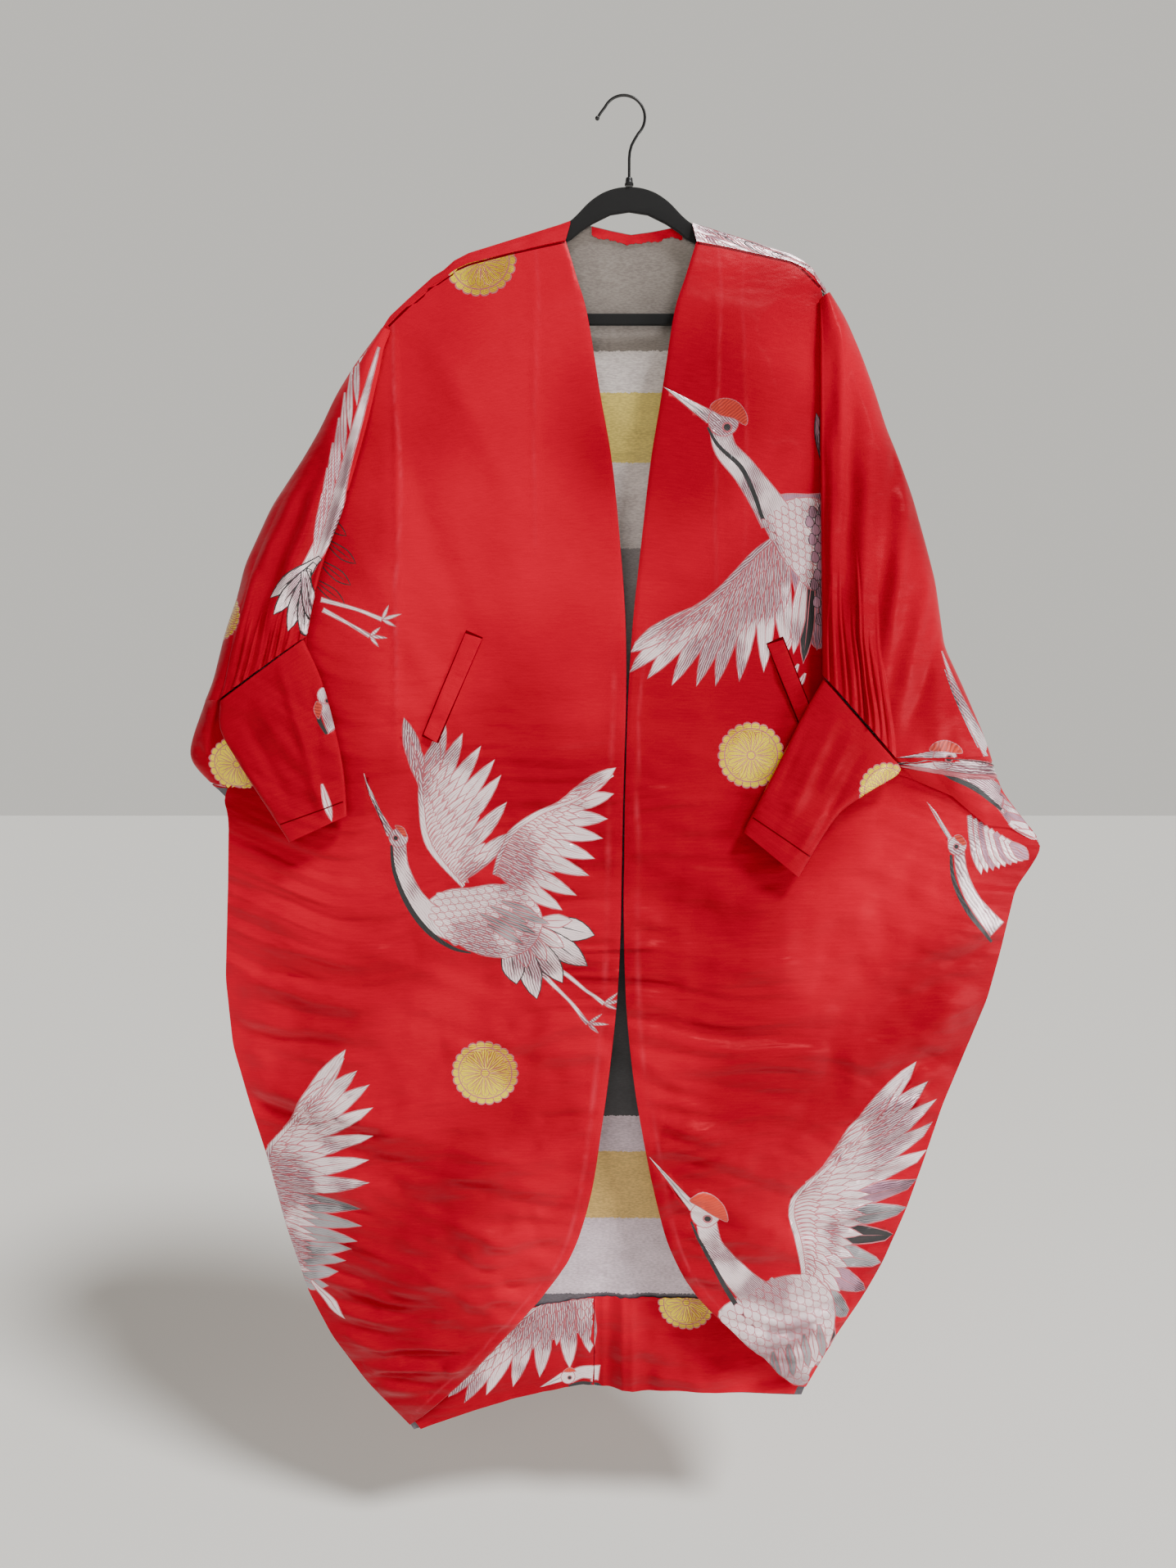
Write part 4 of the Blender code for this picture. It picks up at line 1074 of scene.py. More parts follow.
@dataclass
class Sleeve(Piece):
    """A batwing sleeve: front, top line and back in one piece, gathered over its cuff."""

    side: Side
    marks: Sequence[Mark] = ()
    under_marks: Sequence[Mark] = ()
    front_columns: int = 150
    back_columns: int = 24
    upper_rows: int = 104
    under_rows: int = 30
    fold_under: float = 9.0
    fold_step: float = 3.8
    pouch_lift: float = 1.2
    gather_height: float = 2.0
    fold_growth: float = 1.7

    @property
    def cut(self) -> SleeveCut:
        """This side's own sizes."""
        return SLEEVES[self.side]

    def shares(self) -> Array:
        """Columns from the turned edge out, closer together toward the top line."""
        u = np.linspace(0, 1, self.front_columns)
        return np.where(u < 0.8, u, 0.8 + 0.2 * np.sin((u - 0.8) / 0.2 * math.pi / 2))

    def ring_place(self, share: Array) -> tuple[Array, Array]:
        """Where a column crosses the gathered seam.

        Args:
            share: The columns' shares of the sleeve's width.

        Returns:
            Places across and places up.
        """
        cut, last = self.cut, self.cut.rows[-1]
        line = (self.form.outline(self.side, last.line_z), last.line_z)
        f = np.clip(share / cut.ring_share, 0, 1)
        g = np.clip((share - cut.ring_share) / (1 - cut.ring_share), 0, 1)
        inside = share <= cut.ring_share
        return (np.where(inside, mix(last.fold_x, cut.ring_out[0], f),
                         mix(cut.ring_out[0], line[0], g)),
                np.where(inside, mix(last.fold_z, cut.ring_out[1], f),
                         mix(cut.ring_out[1], line[1], g)))

    def ring_bulge(self, share: Array) -> Array:
        """Half the cuff's opening at each column."""
        f = np.clip(share / self.cut.ring_share, 0, 1)
        return self.cut.ring_half * np.maximum(0, np.sin(np.pi * f)) ** 0.6

    def ring_depth(self, share: Array) -> Array:
        """How far the gathered seam's middle stands out."""
        g = np.clip((share - self.cut.ring_share) / (1 - self.cut.ring_share), 0, 1)
        return self.cut.ring_depth * np.sqrt(np.maximum(0, 1 - g**2.4))

    def gathers(self, share: Array, t: Array) -> Array:
        """The gathers: rounded ridges with sharp valleys, uneven in height and reach.

        Args:
            share: The columns' shares of the sleeve's width.
            t: The shares of the way down to the gathered seam.

        Returns:
            How far each place stands out.
        """
        cut = self.cut
        begin = cut.gather_from + 0.07 * np.sin(share * 31 + 1.3) + 0.05 * np.sin(share * 74)
        rise = np.clip((t - begin) / (1 - begin), 0, 1)
        wander = 0.006 * np.sin(t * 9 + share * 12)
        phase = 2 * np.pi * cut.waves * (share / cut.ring_share + wander)
        phase = phase + 0.9 * np.sin(share * 21 + 0.4)
        wave = np.cos(phase) + 0.35 * np.cos(2 * phase + 3 * np.sin(share * 15))
        uneven = 0.75 + 0.4 * np.sin(share * 47) + 0.25 * np.sin(share * 19 + 2)
        inside = smoothstep(0, 0.05, share) * smoothstep(cut.ring_share + 0.03,
                                                         cut.ring_share - 0.05, share)
        return self.gather_height * uneven * np.sin(rise**0.8 * 2.3) * -wave * inside

    def front_part(self) -> Array:
        """The sleeve's front, its edge turned under.

        Returns:
            The middle points.
        """
        cut = self.cut
        t = (np.linspace(0, 1, self.upper_rows) ** 0.92)[:, None]
        share = self.shares()[None, :]
        table = through(cut.rows, t[:, 0])
        fold_x, fold_z, depth, line_z = (v[:, None] for v in table.T)
        last = cut.rows[-1]
        line_x = self.form.outline(self.side, line_z)
        ring_x, ring_z = self.ring_place(share)
        bent = t**3
        x = mix(fold_x, line_x, share) + bent * (
            ring_x - mix(last.fold_x, self.form.outline(self.side, last.line_z), share))
        z = mix(fold_z, line_z, share) + bent * (ring_z - mix(last.fold_z, last.line_z, share))
        free = (depth + 5 * np.sin(np.pi * share)) * np.sqrt(np.maximum(0, 1 - share**4))
        near = smoothstep(0.45, 1, t)
        out = mix(free, self.ring_depth(share) + self.ring_bulge(share), near)
        soft = smoothstep(0, 0.06, share) * smoothstep(1, 0.86, share) * smoothstep(0, 0.08, t)
        out = out + soft * (self.fold_growth * smoothstep(1.02, 0.8, t)
                            * relief(SLEEVE_FOLDS[self.side], x, z)
                            + 0.9 * drift(x, z, 70, 12 + self.side.sign, 0.5))
        out = out + self.gathers(share, t)
        front = np.stack([x, -out, z], -1)
        return np.concatenate([self.turned_edge(front), front], 1)

    def turned_edge(self, front: Array) -> Array:
        """Three columns that roll round the front edge and lie behind it.

        Args:
            front: The sleeve's front.

        Returns:
            The three columns' points.
        """
        first = front[:, :1]
        beside = front[:, front.shape[1] // 2:front.shape[1] // 2 + 1]
        away = beside - first
        reach = np.hypot(away[..., 0], away[..., 2])[..., None]
        run = away / reach
        columns = []
        for into, back in ((1.0, 1.0), (0.45, 0.75), (-0.15, 0.35)):
            spot = first + run * np.minimum(self.fold_under, reach * 0.7) * into
            y = first[..., 1] + self.fold_step * back
            clear = -self.form.front(spot[..., 0], spot[..., 2]) - self.form.lap - self.form.seam
            spot[..., 1] = np.minimum(y, clear)
            columns.append(spot)
        return np.concatenate(columns, 1)

    def back_part(self, line: Array, down: Array) -> Array:
        """The sleeve's back, from its outer line in to the armhole.

        Args:
            line: The outer line's points.
            down: The armhole share beside each.

        Returns:
            The rows, without the line itself.
        """
        hole = through(self.cut.armhole, down)
        u = np.linspace(0, 1, self.back_columns + 1)[1:]
        share = (u**1.5)[None, :]
        x = mix(line[:, :1], hole[:, :1], share)
        z = mix(line[:, 2:], hole[:, 1:], share)
        fade = smoothstep(0, 0.25, share) * smoothstep(1, 0.9, share)
        y = self.form.back(x, z) + fade * 0.9 * drift(x, z, 80, 14, 0.6)
        return np.stack([x, y, z], -1)

    def upper(self) -> Array:
        """Front and back above the gathered seam.

        Returns:
            The middle points.
        """
        front = self.front_part()
        t = np.linspace(0, 1, self.upper_rows) ** 0.92
        back = self.back_part(front[:, -1], t * ARMHOLE_SPLIT)
        return np.concatenate([front, back], 1)

    def under(self) -> Array:
        """The slack behind and under the cuff, and the back beside it.

        Returns:
            The middle points.
        """
        cut, last = self.cut, self.cut.rows[-1]
        q = np.linspace(0, 1, self.under_rows)[:, None]
        share = self.shares()[None, :]
        top_x, top_z = self.ring_place(share)
        low_x = reading([u.share for u in cut.under_edge], [u.x for u in cut.under_edge], share)
        low_z = reading([u.share for u in cut.under_edge], [u.z for u in cut.under_edge], share)
        outer_z = through([(v,) for v in cut.under_z], q[:, 0])
        outer = self.form.outline(self.side, outer_z)
        first_x, first_z = self.form.outline(self.side, last.line_z), last.line_z
        edge = cut.under_edge[-1]
        x = mix(top_x, low_x, q) + share**3 * (outer - mix(first_x, edge.x, q))
        z = mix(top_z, low_z, q) + share**3 * (outer_z - mix(first_z, edge.z, q))
        clear = self.form.lap + self.pouch_lift
        behind = self.ring_depth(share) - np.where(
            share < cut.ring_share, np.maximum(self.ring_bulge(share), self.fold_step) + clear, 0)
        laid = self.form.front(x, z) + np.maximum(self.form.front_creases(x, z), 0) + clear
        laid = laid * np.sqrt(np.maximum(0, 1 - share**14))
        middle = smoothstep(0, 0.1, share) * smoothstep(1, 0.9, share)
        waves = 1.5 * np.sin(share * 2 * np.pi * cut.waves * 0.6 + 2 * q) * (1 - q) ** 1.5
        slack = middle * (waves + 0.6 * drift(x, z, 30, 41))
        front = np.stack([x, -(mix(behind, laid, q**0.8) + np.maximum(slack, -0.4)), z], -1)
        back = self.back_part(front[:, -1], ARMHOLE_SPLIT + q[:, 0] * (1 - ARMHOLE_SPLIT))
        return np.concatenate([front, back], 1)

    def build(self) -> bpy.types.Object:
        """Makes the sleeve of its two panels.

        Returns:
            The piece.
        """
        middle = self.front_columns // 2
        panels = [Panel(self.upper(), Facing(self.upper_rows // 3, middle, -1), self.marks),
                  Panel(self.under(), Facing(self.under_rows - 4, middle, -1), self.under_marks)]
        return self.kept(panels, f"sleeve_{self.side.value}", "brocade")


class CuffRow(NamedTuple):
    """One section of a cuff, from its left to its right fold."""

    left_x: float
    left_z: float
    right_x: float
    right_z: float
    depth: float
    half: float


CUFFS = {
    Side.LEFT: (
        CuffRow(-438.0, -641, -346.5, -574.5, 34.0, 6.4),
        CuffRow(-438, -672, -328, -618, 34.5, 6.6),
        CuffRow(-421, -705, -315, -668, 35.0, 6.6), CuffRow(-400, -740, -306, -716, 35.5, 6.2),
        CuffRow(-366, -795, -303, -766, 36.0, 5.8),
    ),
    Side.RIGHT: (
        CuffRow(217.0, -617.5, 294.0, -703.5, 38.0, 6.4), CuffRow(196, -655, 301, -718, 39.0, 6.6),
        CuffRow(178, -692, 262, -743, 40.0, 6.6), CuffRow(158, -732, 231, -769, 40.5, 6.2),
        CuffRow(132, -783, 193, -833, 41.0, 5.8),
    ),
}
CUFF_FOLDS = {
    Side.LEFT: (
        Fold(-372, -600, -322, -770, 5, 1.8), Fold(-415, -650, -360, -760, 8, -1.5),
        Fold(-400, -640, -345, -720, 6, 1.5), Fold(-340, -610, -330, -700, 6, -1.2),
        Fold(-425, -690, -370, -790, 6, 1.3), Fold(-350, -700, -325, -770, 6, 1.3),
    ),
    Side.RIGHT: (
        Fold(232, -650, 170, -790, 7, 1.7), Fold(262, -690, 205, -800, 6, -1.5),
        Fold(285, -706, 225, -770, 5, 1.6), Fold(205, -655, 165, -750, 5, -1.2),
        Fold(250, -670, 215, -740, 5, 1.4), Fold(222, -760, 180, -820, 5, 1.2),
    ),
}


@dataclass
class Cuff(Piece):
    """A tapered cuff: a flattened tube of plain satin with a turned hem."""

    side: Side
    marks: Sequence[Mark] = ()
    rows: int = 76
    around: int = 108

    def build(self) -> bpy.types.Object:
        """Makes the cuff, its hem's stitched step showing a little way up.

        Returns:
            The piece.
        """
        table = through(CUFFS[self.side], np.linspace(0, 1, self.rows))
        left_x, left_z, right_x, right_z, depth, half = (v[:, None] for v in table.T)
        # The tube starts behind, so that its seam lies on the side away from the viewer.
        turn = np.linspace(0, 2 * np.pi, self.around)[None, :] - np.pi / 2
        across = np.sign(np.cos(turn)) * np.abs(np.cos(turn)) ** 0.8
        out = np.sign(np.sin(turn)) * np.abs(np.sin(turn)) ** 0.7
        share = (1 + across) / 2
        x, z = mix(left_x, right_x, share), mix(left_z, right_z, share)
        flat = 1 - np.abs(across) ** 6
        soft = 1.6 * relief(CUFF_FOLDS[self.side], x, z) + 0.5 * drift(x, z, 38, 51)
        down = np.linspace(0, 1, self.rows)[:, None]
        hem = np.exp(-(((down - 0.915) / 0.008) ** 2)) * -0.8
        y = -depth - half * out - np.sign(out) * flat * soft - out * hem
        grid = np.stack([x, y, z], -1)
        panel = Panel(grid, Facing(self.rows // 2, self.around // 2, -1), self.marks)
        return self.kept([panel], f"cuff_{self.side.value}", "satin")


@dataclass
class Back(Piece):
    """The wide back, from the hanger down to the hem."""

    marks: Sequence[Mark] = ()
    hole_rows: int = 78
    low_rows: int = 94
    side_columns: int = 47
    neck_columns: int = 22
    seam_inset: float = 0.5
    yoke_gap: float = 0.8
    yoke_inset: float = 2.5
    hem_left: float = FACING_SEAM_X - 4 * 12.7
    hem_right: float = FACING_SEAM_X + 8 * 12.7

    def side_points(self, side: Side) -> Array:
        """The back's outer edge: down the armhole, then down the side seam.

        Args:
            side: Which half of the coat.

        Returns:
            Place across and up of each point.
        """
        cut = SLEEVES[side]
        hole = through(cut.armhole, np.linspace(0, 1, self.hole_rows))
        hole[:, 0] -= side.sign * self.seam_inset
        bottom = (BACK_HEM[0] if side is Side.LEFT else BACK_HEM[-1]).z
        z = mix(hole[-1, 1], bottom, np.linspace(0, 1, self.low_rows + 1)[1:])
        return np.concatenate([hole, np.stack([self.form.outline(side, z), z], -1)])

    def build(self) -> bpy.types.Object:
        """Makes the back.

        Returns:
            The piece.
        """
        form = self.form
        left, right = self.side_points(Side.LEFT), self.side_points(Side.RIGHT)
        tops = [FRONTS[side][0].side_x - self.yoke_inset * (side is Side.RIGHT) for side in Side]
        starts = [np.array([[x, float(form.ridge(x))]]) for x in tops]
        left, right = np.concatenate([starts[0], left]), np.concatenate([starts[1], right])
        down = np.concatenate([[0], mix(1 / 29, 16 / 29, np.linspace(0, 1, self.hole_rows)),
                               mix(16 / 29, 1, np.linspace(0, 1, self.low_rows + 1)[1:])])[:, None]
        neck_left = mix(BACK_NECK[0].x, self.hem_left, down)
        neck_right = mix(BACK_NECK[-1].x, self.hem_right, down)
        out = np.linspace(0, 1, self.side_columns)[None, :]
        across_neck = np.linspace(0, 1, self.neck_columns + 1)[None, 1:-1]
        x = np.concatenate([mix(left[:, :1], neck_left, out),
                            mix(neck_left, neck_right, across_neck),
                            mix(neck_right, right[:, :1], out)], 1)
        across = (x - left[:, :1]) / (right[:, :1] - left[:, :1])
        level = mix(left[:, 1:], right[:, 1:], across)
        top_x = mix(tops[0], tops[1], across)
        on_neck = (top_x > BACK_NECK[0].x) & (top_x < BACK_NECK[-1].x)
        over = np.where(on_neck, form.neck_z(top_x), form.ridge(top_x))
        rise = over - mix(left[0, 1], right[0, 1], across)
        corners = BACK_HEM[0], BACK_HEM[-1]
        straight_x, straight_z = (mix(*ends, across) for ends in zip(*corners))
        sag = form.hem_z(straight_x) - straight_z
        z = level + rise * np.maximum(0, 1 - down * 1.6) ** 2 + sag * down**6
        first_neck = (x[0] > BACK_NECK[0].x) & (x[0] < BACK_NECK[-1].x)
        z[0] = np.where(first_neck, form.neck_z(x[0]),
                        form.ridge(x[0]) - form.ridge_radius - self.yoke_gap)
        y = form.back(x, z) + form.back_creases(x, z) * smoothstep(0, 0.1, down)
        y[0] = np.where(first_neck, form.back(x[0], z[0]), form.ridge_radius)
        panel = Panel(np.stack([x, y, z], -1), Facing(len(down) // 2, x.shape[1] // 2, 1),
                      self.marks)
        return self.kept([panel], "back", "brocade")


@dataclass
class Yoke(Piece):
    """The strip that wraps forward over the hanger to the shoulder seam."""

    side: Side
    marks: Sequence[Mark] = ()
    columns: int = 92
    over_sleeve: float = 6.0

    def build(self) -> bpy.types.Object:
        """Makes the strip, from behind the ridge to the seam in front.

        Returns:
            The piece.
        """
        form, first = self.form, FRONTS[self.side][0]
        neck = (BACK_NECK[0] if self.side is Side.LEFT else BACK_NECK[-1]).x
        share = np.linspace(0, 1, self.columns)[None, :]
        end_x = first.side_x + self.side.sign * self.over_sleeve
        ridge_x = mix(neck, end_x, share)
        seam_x = mix(first.edge_x, end_x, share)
        radius = form.ridge_radius
        turn = through(((radius, -radius), (1.2, -3), (0, 0), (1.2, 3), (radius, radius)),
                       np.linspace(0, 1, 17))
        over_z = form.ridge(ridge_x) - turn[:, :1]
        over_y = -turn[:, 1:] + 0 * ridge_x
        lower = np.linspace(0, 1, 9)[1:, None]
        x = mix(ridge_x, seam_x, lower)
        z = form.ridge(x) - mix(radius, mix(*form.yoke_drop, share**0.8), lower)
        # The lower edge is folded under and pressed, so it stands a little off the front.
        y = -form.front(x, z) - 0.7 * lower**2 - 0.3 * drift(x, z, 30, 61)
        grid = np.concatenate([np.stack([ridge_x + 0 * over_z, over_y, over_z], -1),
                               np.stack([x, y, z], -1)])
        ground = Weave.SILVER if self.marks else Weave.GROUND
        panel = Panel(grid, Facing(21, self.columns // 2, -1), self.marks, ground=ground)
        return self.kept([panel], f"yoke_{self.side.value}", "brocade")


@dataclass
class Trims(Piece):
    """The small satin pieces: pocket welts, the neck's facing and the hem's two facings."""

    marks: Sequence[Mark] = ()
    welt_lift: float = 0.25
    welt_thick: float = 1.3
    facing_thick: float = 0.9
    facing_height: float = 112.0
    facing_turn: float = 1.4
    facing_lift: float = 0.6
    side_clear: float = 9.0

    def welt(self, side: Side, upper: tuple, lower: tuple) -> bpy.types.Object:
        """A folded satin strip over a pocket's slot, given at its two ends' long edges.

        Args:
            side: Which half of the coat.
            upper: The two corners at its upper end.
            lower: The two corners at its lower end.

        Returns:
            The piece.
        """
        down = np.linspace(0, 1, 60)[:, None]
        across = np.linspace(0, 1, 12)[None, :]
        (ax, az), (bx, bz) = upper
        (cx, cz), (dx, dz) = lower
        x = mix(mix(ax, bx, across), mix(cx, dx, across), down)
        z = mix(mix(az, bz, across), mix(cz, dz, across), down)
        plump = 0.7 * np.sin(np.pi * across) ** 0.5 * np.sin(np.pi * down) ** 0.2
        rest = self.form.front(x, z) + np.maximum(self.form.front_creases(x, z), 0)
        y = -rest - self.form.lap - self.welt_lift - plump - 0.15 * drift(x, z, 14, 71)
        panel = Panel(np.stack([x, y, z], -1), Facing(30, 6, -1),
                      thick=self.welt_thick)
        return self.kept([panel], f"welt_{side.value}", "satin")

    def neck(self) -> bpy.types.Object:
        """The facing inside the back neck, its lower edge left raw and worn.

        Returns:
            The piece.
        """
        down = np.linspace(0, 1, 9)[:, None]
        x = np.linspace(-34, 64, 70)[None, :] + 0 * down
        worn = 1.3 * drift(x, x * 0, 9, 72) + 1.0 * drift(x, x * 0, 4, 73)
        z = self.form.neck_z(x) - mix(1.2, 10.4 + worn, down)
        y = self.form.back(x, z) - self.form.lap - self.form.seam - 0.3 * drift(x, z, 12, 74)
        panel = Panel(np.stack([x, y, z], -1), Facing(4, 35, -1),
                      thick=self.facing_thick)
        return self.kept([panel], "neck_facing", "satin")

    def hem(self, side: Side) -> bpy.types.Object:
        """One length of hem facing, from the seam between the two out to the side.

        Args:
            side: Which half of the coat.

        Returns:
            The piece.
        """
        form, sign = self.form, side.sign
        corner = BACK_HEM[0] if side is Side.LEFT else BACK_HEM[-1]
        start = FACING_SEAM_X + sign * form.seam
        rise = mix(self.facing_turn, self.facing_height, np.linspace(0, 1, 30))[:, None]
        outer_z = corner.z + rise
        outer_x = form.outline(side, outer_z) - sign * self.side_clear
        f = np.linspace(0, 1, 100)[None, :]
        x = mix(start, outer_x, f)
        level = mix(float(form.hem_z(start)), corner.z, f)
        sag = form.hem_z(mix(start, corner.x, f)) - level
        up = np.linspace(0, 1, 30)[:, None]
        worn = (0.9 * drift(x, x * 0, 13, 75) + 0.7 * drift(x, x * 0, 5, 76)) * up**20
        z = level + rise + sag * (1 - up) + worn
        pleats = sum(h * np.exp(-(((x - at) / 3.2) ** 2))
                     for at, h in ((-20, 1.6), (-9, -1.0), (3, 1.2), (15, 0.8), (-60, 0.7)))
        y = form.back(x, z) - form.lap - self.facing_lift - np.maximum(pleats, -0.5)
        y = y - np.maximum(form.back_creases(x, z), 0) - 0.3 * drift(x, z, 26, 77)
        panel = Panel(np.stack([x, y, z], -1), Facing(15, 20, -1), self.marks,
                      thick=self.facing_thick)
        return self.kept([panel], f"hem_facing_{side.value}", "satin")


@dataclass
class Hanger:
    """A slim flocked hanger: flat arms round an open middle, a wire hook, collar and tip."""

    form: CoatForm
    velvet: bpy.types.Material
    wire: bpy.types.Material
    plastic: bpy.types.Material
    thick: float = 4.6
    edge: float = 1.7
    wire_across: float = 3.0
    hook_radius: float = 22.5
    collar_size: tuple[float, float] = (9.6, 8.0)
    tip_across: float = 4.8
    sides: int = 48

    def arms(self) -> bpy.types.Object:
        """Arms and bar in one flat outline with rounded edges.

        Returns:
            The piece.
        """
        stem = self.form.stem_x
        curve = bpy.data.curves.new("arms", "CURVE")
        curve.dimensions = "2D"
        curve.fill_mode = "BOTH"
        curve.extrude = (self.thick / 2 - self.edge) * MM
        curve.bevel_depth = self.edge * MM
        curve.bevel_resolution = 4
        curve.offset = -self.edge * MM
        outs = np.linspace(-ARMS[-1].out, ARMS[-1].out, 90)
        outer = [(stem + o, float(eased([a.out for a in ARMS], [a.top for a in ARMS], abs(o)))
                  - 0.4) for o in outs]
        end = ((206.0, -194.0), (206.5, -212.0), (201.0, -227.0), (188.0, -235.5))
        outer += [(stem + x, z) for x, z in end] + [(stem - x, z) for x, z in end[::-1]]
        inner_half = [(stem + a.out, a.under) for a in ARMS[:-1]]
        inner_half += [(stem + 191.0, -205), (stem + 186.0, -223.0)]
        inner = inner_half + [(2 * stem - x, z) for x, z in inner_half[::-1] if x != stem]
        for points in (outer, inner):
            self._drawn(curve, [(x, z, 0) for x, z in points]).use_cyclic_u = True
        flat = linked(bpy.data.objects.new("arms", curve))
        flat.rotation_euler = (math.radians(90), 0, 0)
        obj = self._meshed(flat, "hanger_arms", self.velvet)
        return placed(obj, ["hanger_arms"])

    def _drawn(self, curve: bpy.types.Curve,
               points: Sequence[tuple[float, float, float]]) -> bpy.types.Spline:
        """A straight-sided line through points given in millimetres.

        Args:
            curve: The curve that takes it.
            points: The points.

        Returns:
            The line.
        """
        line = curve.splines.new("POLY")
        line.points.add(len(points) - 1)
        for point, place in zip(line.points, points):
            point.co = (*(v * MM for v in place), 1)
        return line

    def _smoothed(self, mesh: bpy.types.Mesh, name: str, finish: bpy.types.Material,
                  sharp: float) -> bpy.types.Object:
        """An object of the mesh in its finish, smooth but for edges sharper than an angle.

        Args:
            mesh: The mesh.
            name: The piece's name and its solid's.
            finish: Its material.
            sharp: The angle, in degrees.

        Returns:
            The object.
        """
        mesh.materials.clear()
        mesh.materials.append(finish)
        mesh.polygons.foreach_set("use_smooth", [True] * len(mesh.polygons))
        mesh.set_sharp_from_angle(angle=math.radians(sharp))
        return linked(bpy.data.objects.new(name + "_part", mesh))

    def _meshed(self, obj: bpy.types.Object, name: str,
                finish: bpy.types.Material) -> bpy.types.Object:
        """A curve turned into a smooth mesh in place.

        Args:
            obj: The curve, which is removed.
            name: The piece's name and its solid's.
            finish: Its material.

        Returns:
            The mesh object.
        """
        bpy.context.view_layer.update()
        graph = bpy.context.evaluated_depsgraph_get()
        mesh = bpy.data.meshes.new_from_object(obj.evaluated_get(graph))
        mesh.transform(obj.matrix_world)
        bpy.data.objects.remove(obj)
        bm = bmesh.new()
        bm.from_mesh(mesh)
        bmesh.ops.remove_doubles(bm, verts=bm.verts, dist=1e-6)
        bmesh.ops.recalc_face_normals(bm, faces=bm.faces)
        bm.to_mesh(mesh)
        bm.free()
        return self._smoothed(mesh, name, finish, 50)

    def route(self) -> list[tuple[float, float]]:
        """The hook's middle line: flared tip, arc, and down the stem to the collar.

        Returns:
            Place across and up of each point.
        """
        centre = -(self.hook_radius - self.wire_across / 2)
        route = [(-26.6, -19.4), (-25.2, -17.2), (-23.4, -14.8)]
        route += [(self.hook_radius * math.cos(a), centre + self.hook_radius * math.sin(a))
                  for a in np.radians(np.linspace(152, -46, 60))]
        stem = self.form.stem_x
        route += [(11.6, -43.5), (8.4, -49.5), (stem + 0.6, -56), (stem, -63)]
        return route + [(stem, ARMS[0].top + 0.6 + self.collar_size[1])]

    def hook(self) -> bpy.types.Object:
        """The wire hook.

        Returns:
            The piece.
        """
        curve = bpy.data.curves.new("hook", "CURVE")
        curve.dimensions = "3D"
        curve.bevel_depth = self.wire_across / 2 * MM
        curve.bevel_resolution = 6
        curve.use_fill_caps = True
        self._drawn(curve, [(x, 0, z) for x, z in self.route()])
        obj = self._meshed(linked(bpy.data.objects.new("hook", curve)), "hanger_hook", self.wire)
        return placed(obj, ["hanger_hook"])

    def lathed(self, name: str, profile: Sequence[tuple[float, float]],
               place: tuple[float, float]) -> bpy.types.Object:
        """A part turned round an upright axis.

        Args:
            name: The piece's name and its solid's.
            profile: Radius and height, from the bottom up.
            place: The axis's x and the profile's base height.

        Returns:
            The part.
        """
        bm = bmesh.new()
        rings = []
        for radius, height in profile:
            ring = [bm.verts.new(((place[0] + radius * math.cos(a)) * MM, radius * math.sin(a) * MM,
                                  (place[1] + height) * MM))
                    for a in np.linspace(0, 2 * np.pi, self.sides, endpoint=False)]
            rings.append(ring)
        for low, high in zip(rings, rings[1:]):
            for i in range(self.sides):
                j = (i + 1) % self.sides
                bm.faces.new((low[i], low[j], high[j], high[i]))
        bm.faces.new(rings[0][::-1])
        bm.faces.new(rings[-1])
        mesh = bpy.data.meshes.new(name)
        bm.to_mesh(mesh)
        bm.free()
        return placed(self._smoothed(mesh, name, self.plastic, 40), [name])

    def build(self) -> None:
        """Makes the four parts."""
        self.arms()
        self.hook()
        wide, tall = self.collar_size[0] / 2, self.collar_size[1]
        collar = [(wide - 0.5, 0), (wide, 0.5), (wide, 2.2), (wide - 0.6, 2.8), (wide - 0.9, 5.2),
                  (wide * 0.76, tall - 0.6), (wide * 0.7, tall)]
        self.lathed("hanger_collar", collar, (self.form.stem_x, ARMS[0].top + 0.3))
        (x0, z0), (x1, z1) = self.route()[:2]
        away = (self.tip_across / 2 + 0.3) / math.hypot(x0 - x1, z0 - z1)
        r = self.tip_across / 2
        ball = [(max(r * math.cos(a), 0.05), r * math.sin(a))
                for a in np.linspace(-np.pi / 2, np.pi / 2, 18)]
        self.lathed("hanger_hook_tip", ball, (x0 + (x0 - x1) * away, z0 + (z0 - z1) * away))


# Finishes.

Socket = bpy.types.NodeSocket
Tree = bpy.types.NodeTree


def linear(text: str) -> tuple[float, float, float, float]:
    """An sRGB hex colour as linear red, green, blue and 1."""
    parts = [int(text[i:i + 2], 16) / 255 for i in (0, 2, 4)]
    return (*(p / 12.92 if p <= 0.04045 else ((p + 0.055) / 1.055) ** 2.4 for p in parts), 1.0)


def feed(tree: Tree, node: bpy.types.Node, inputs: dict[str | int, object]) -> None:
    """Gives each named or numbered input of a node its value, its hex colour or its link.

    Args:
        tree: The tree that holds the node.
        node: The node.
        inputs: A value, a hex colour or a socket for each input that is set.
    """
    for key, value in inputs.items():
        socket = node.inputs[key]
        if isinstance(value, Socket):
            tree.links.new(value, socket)
        else:
            socket.default_value = linear(value) if isinstance(value, str) else value


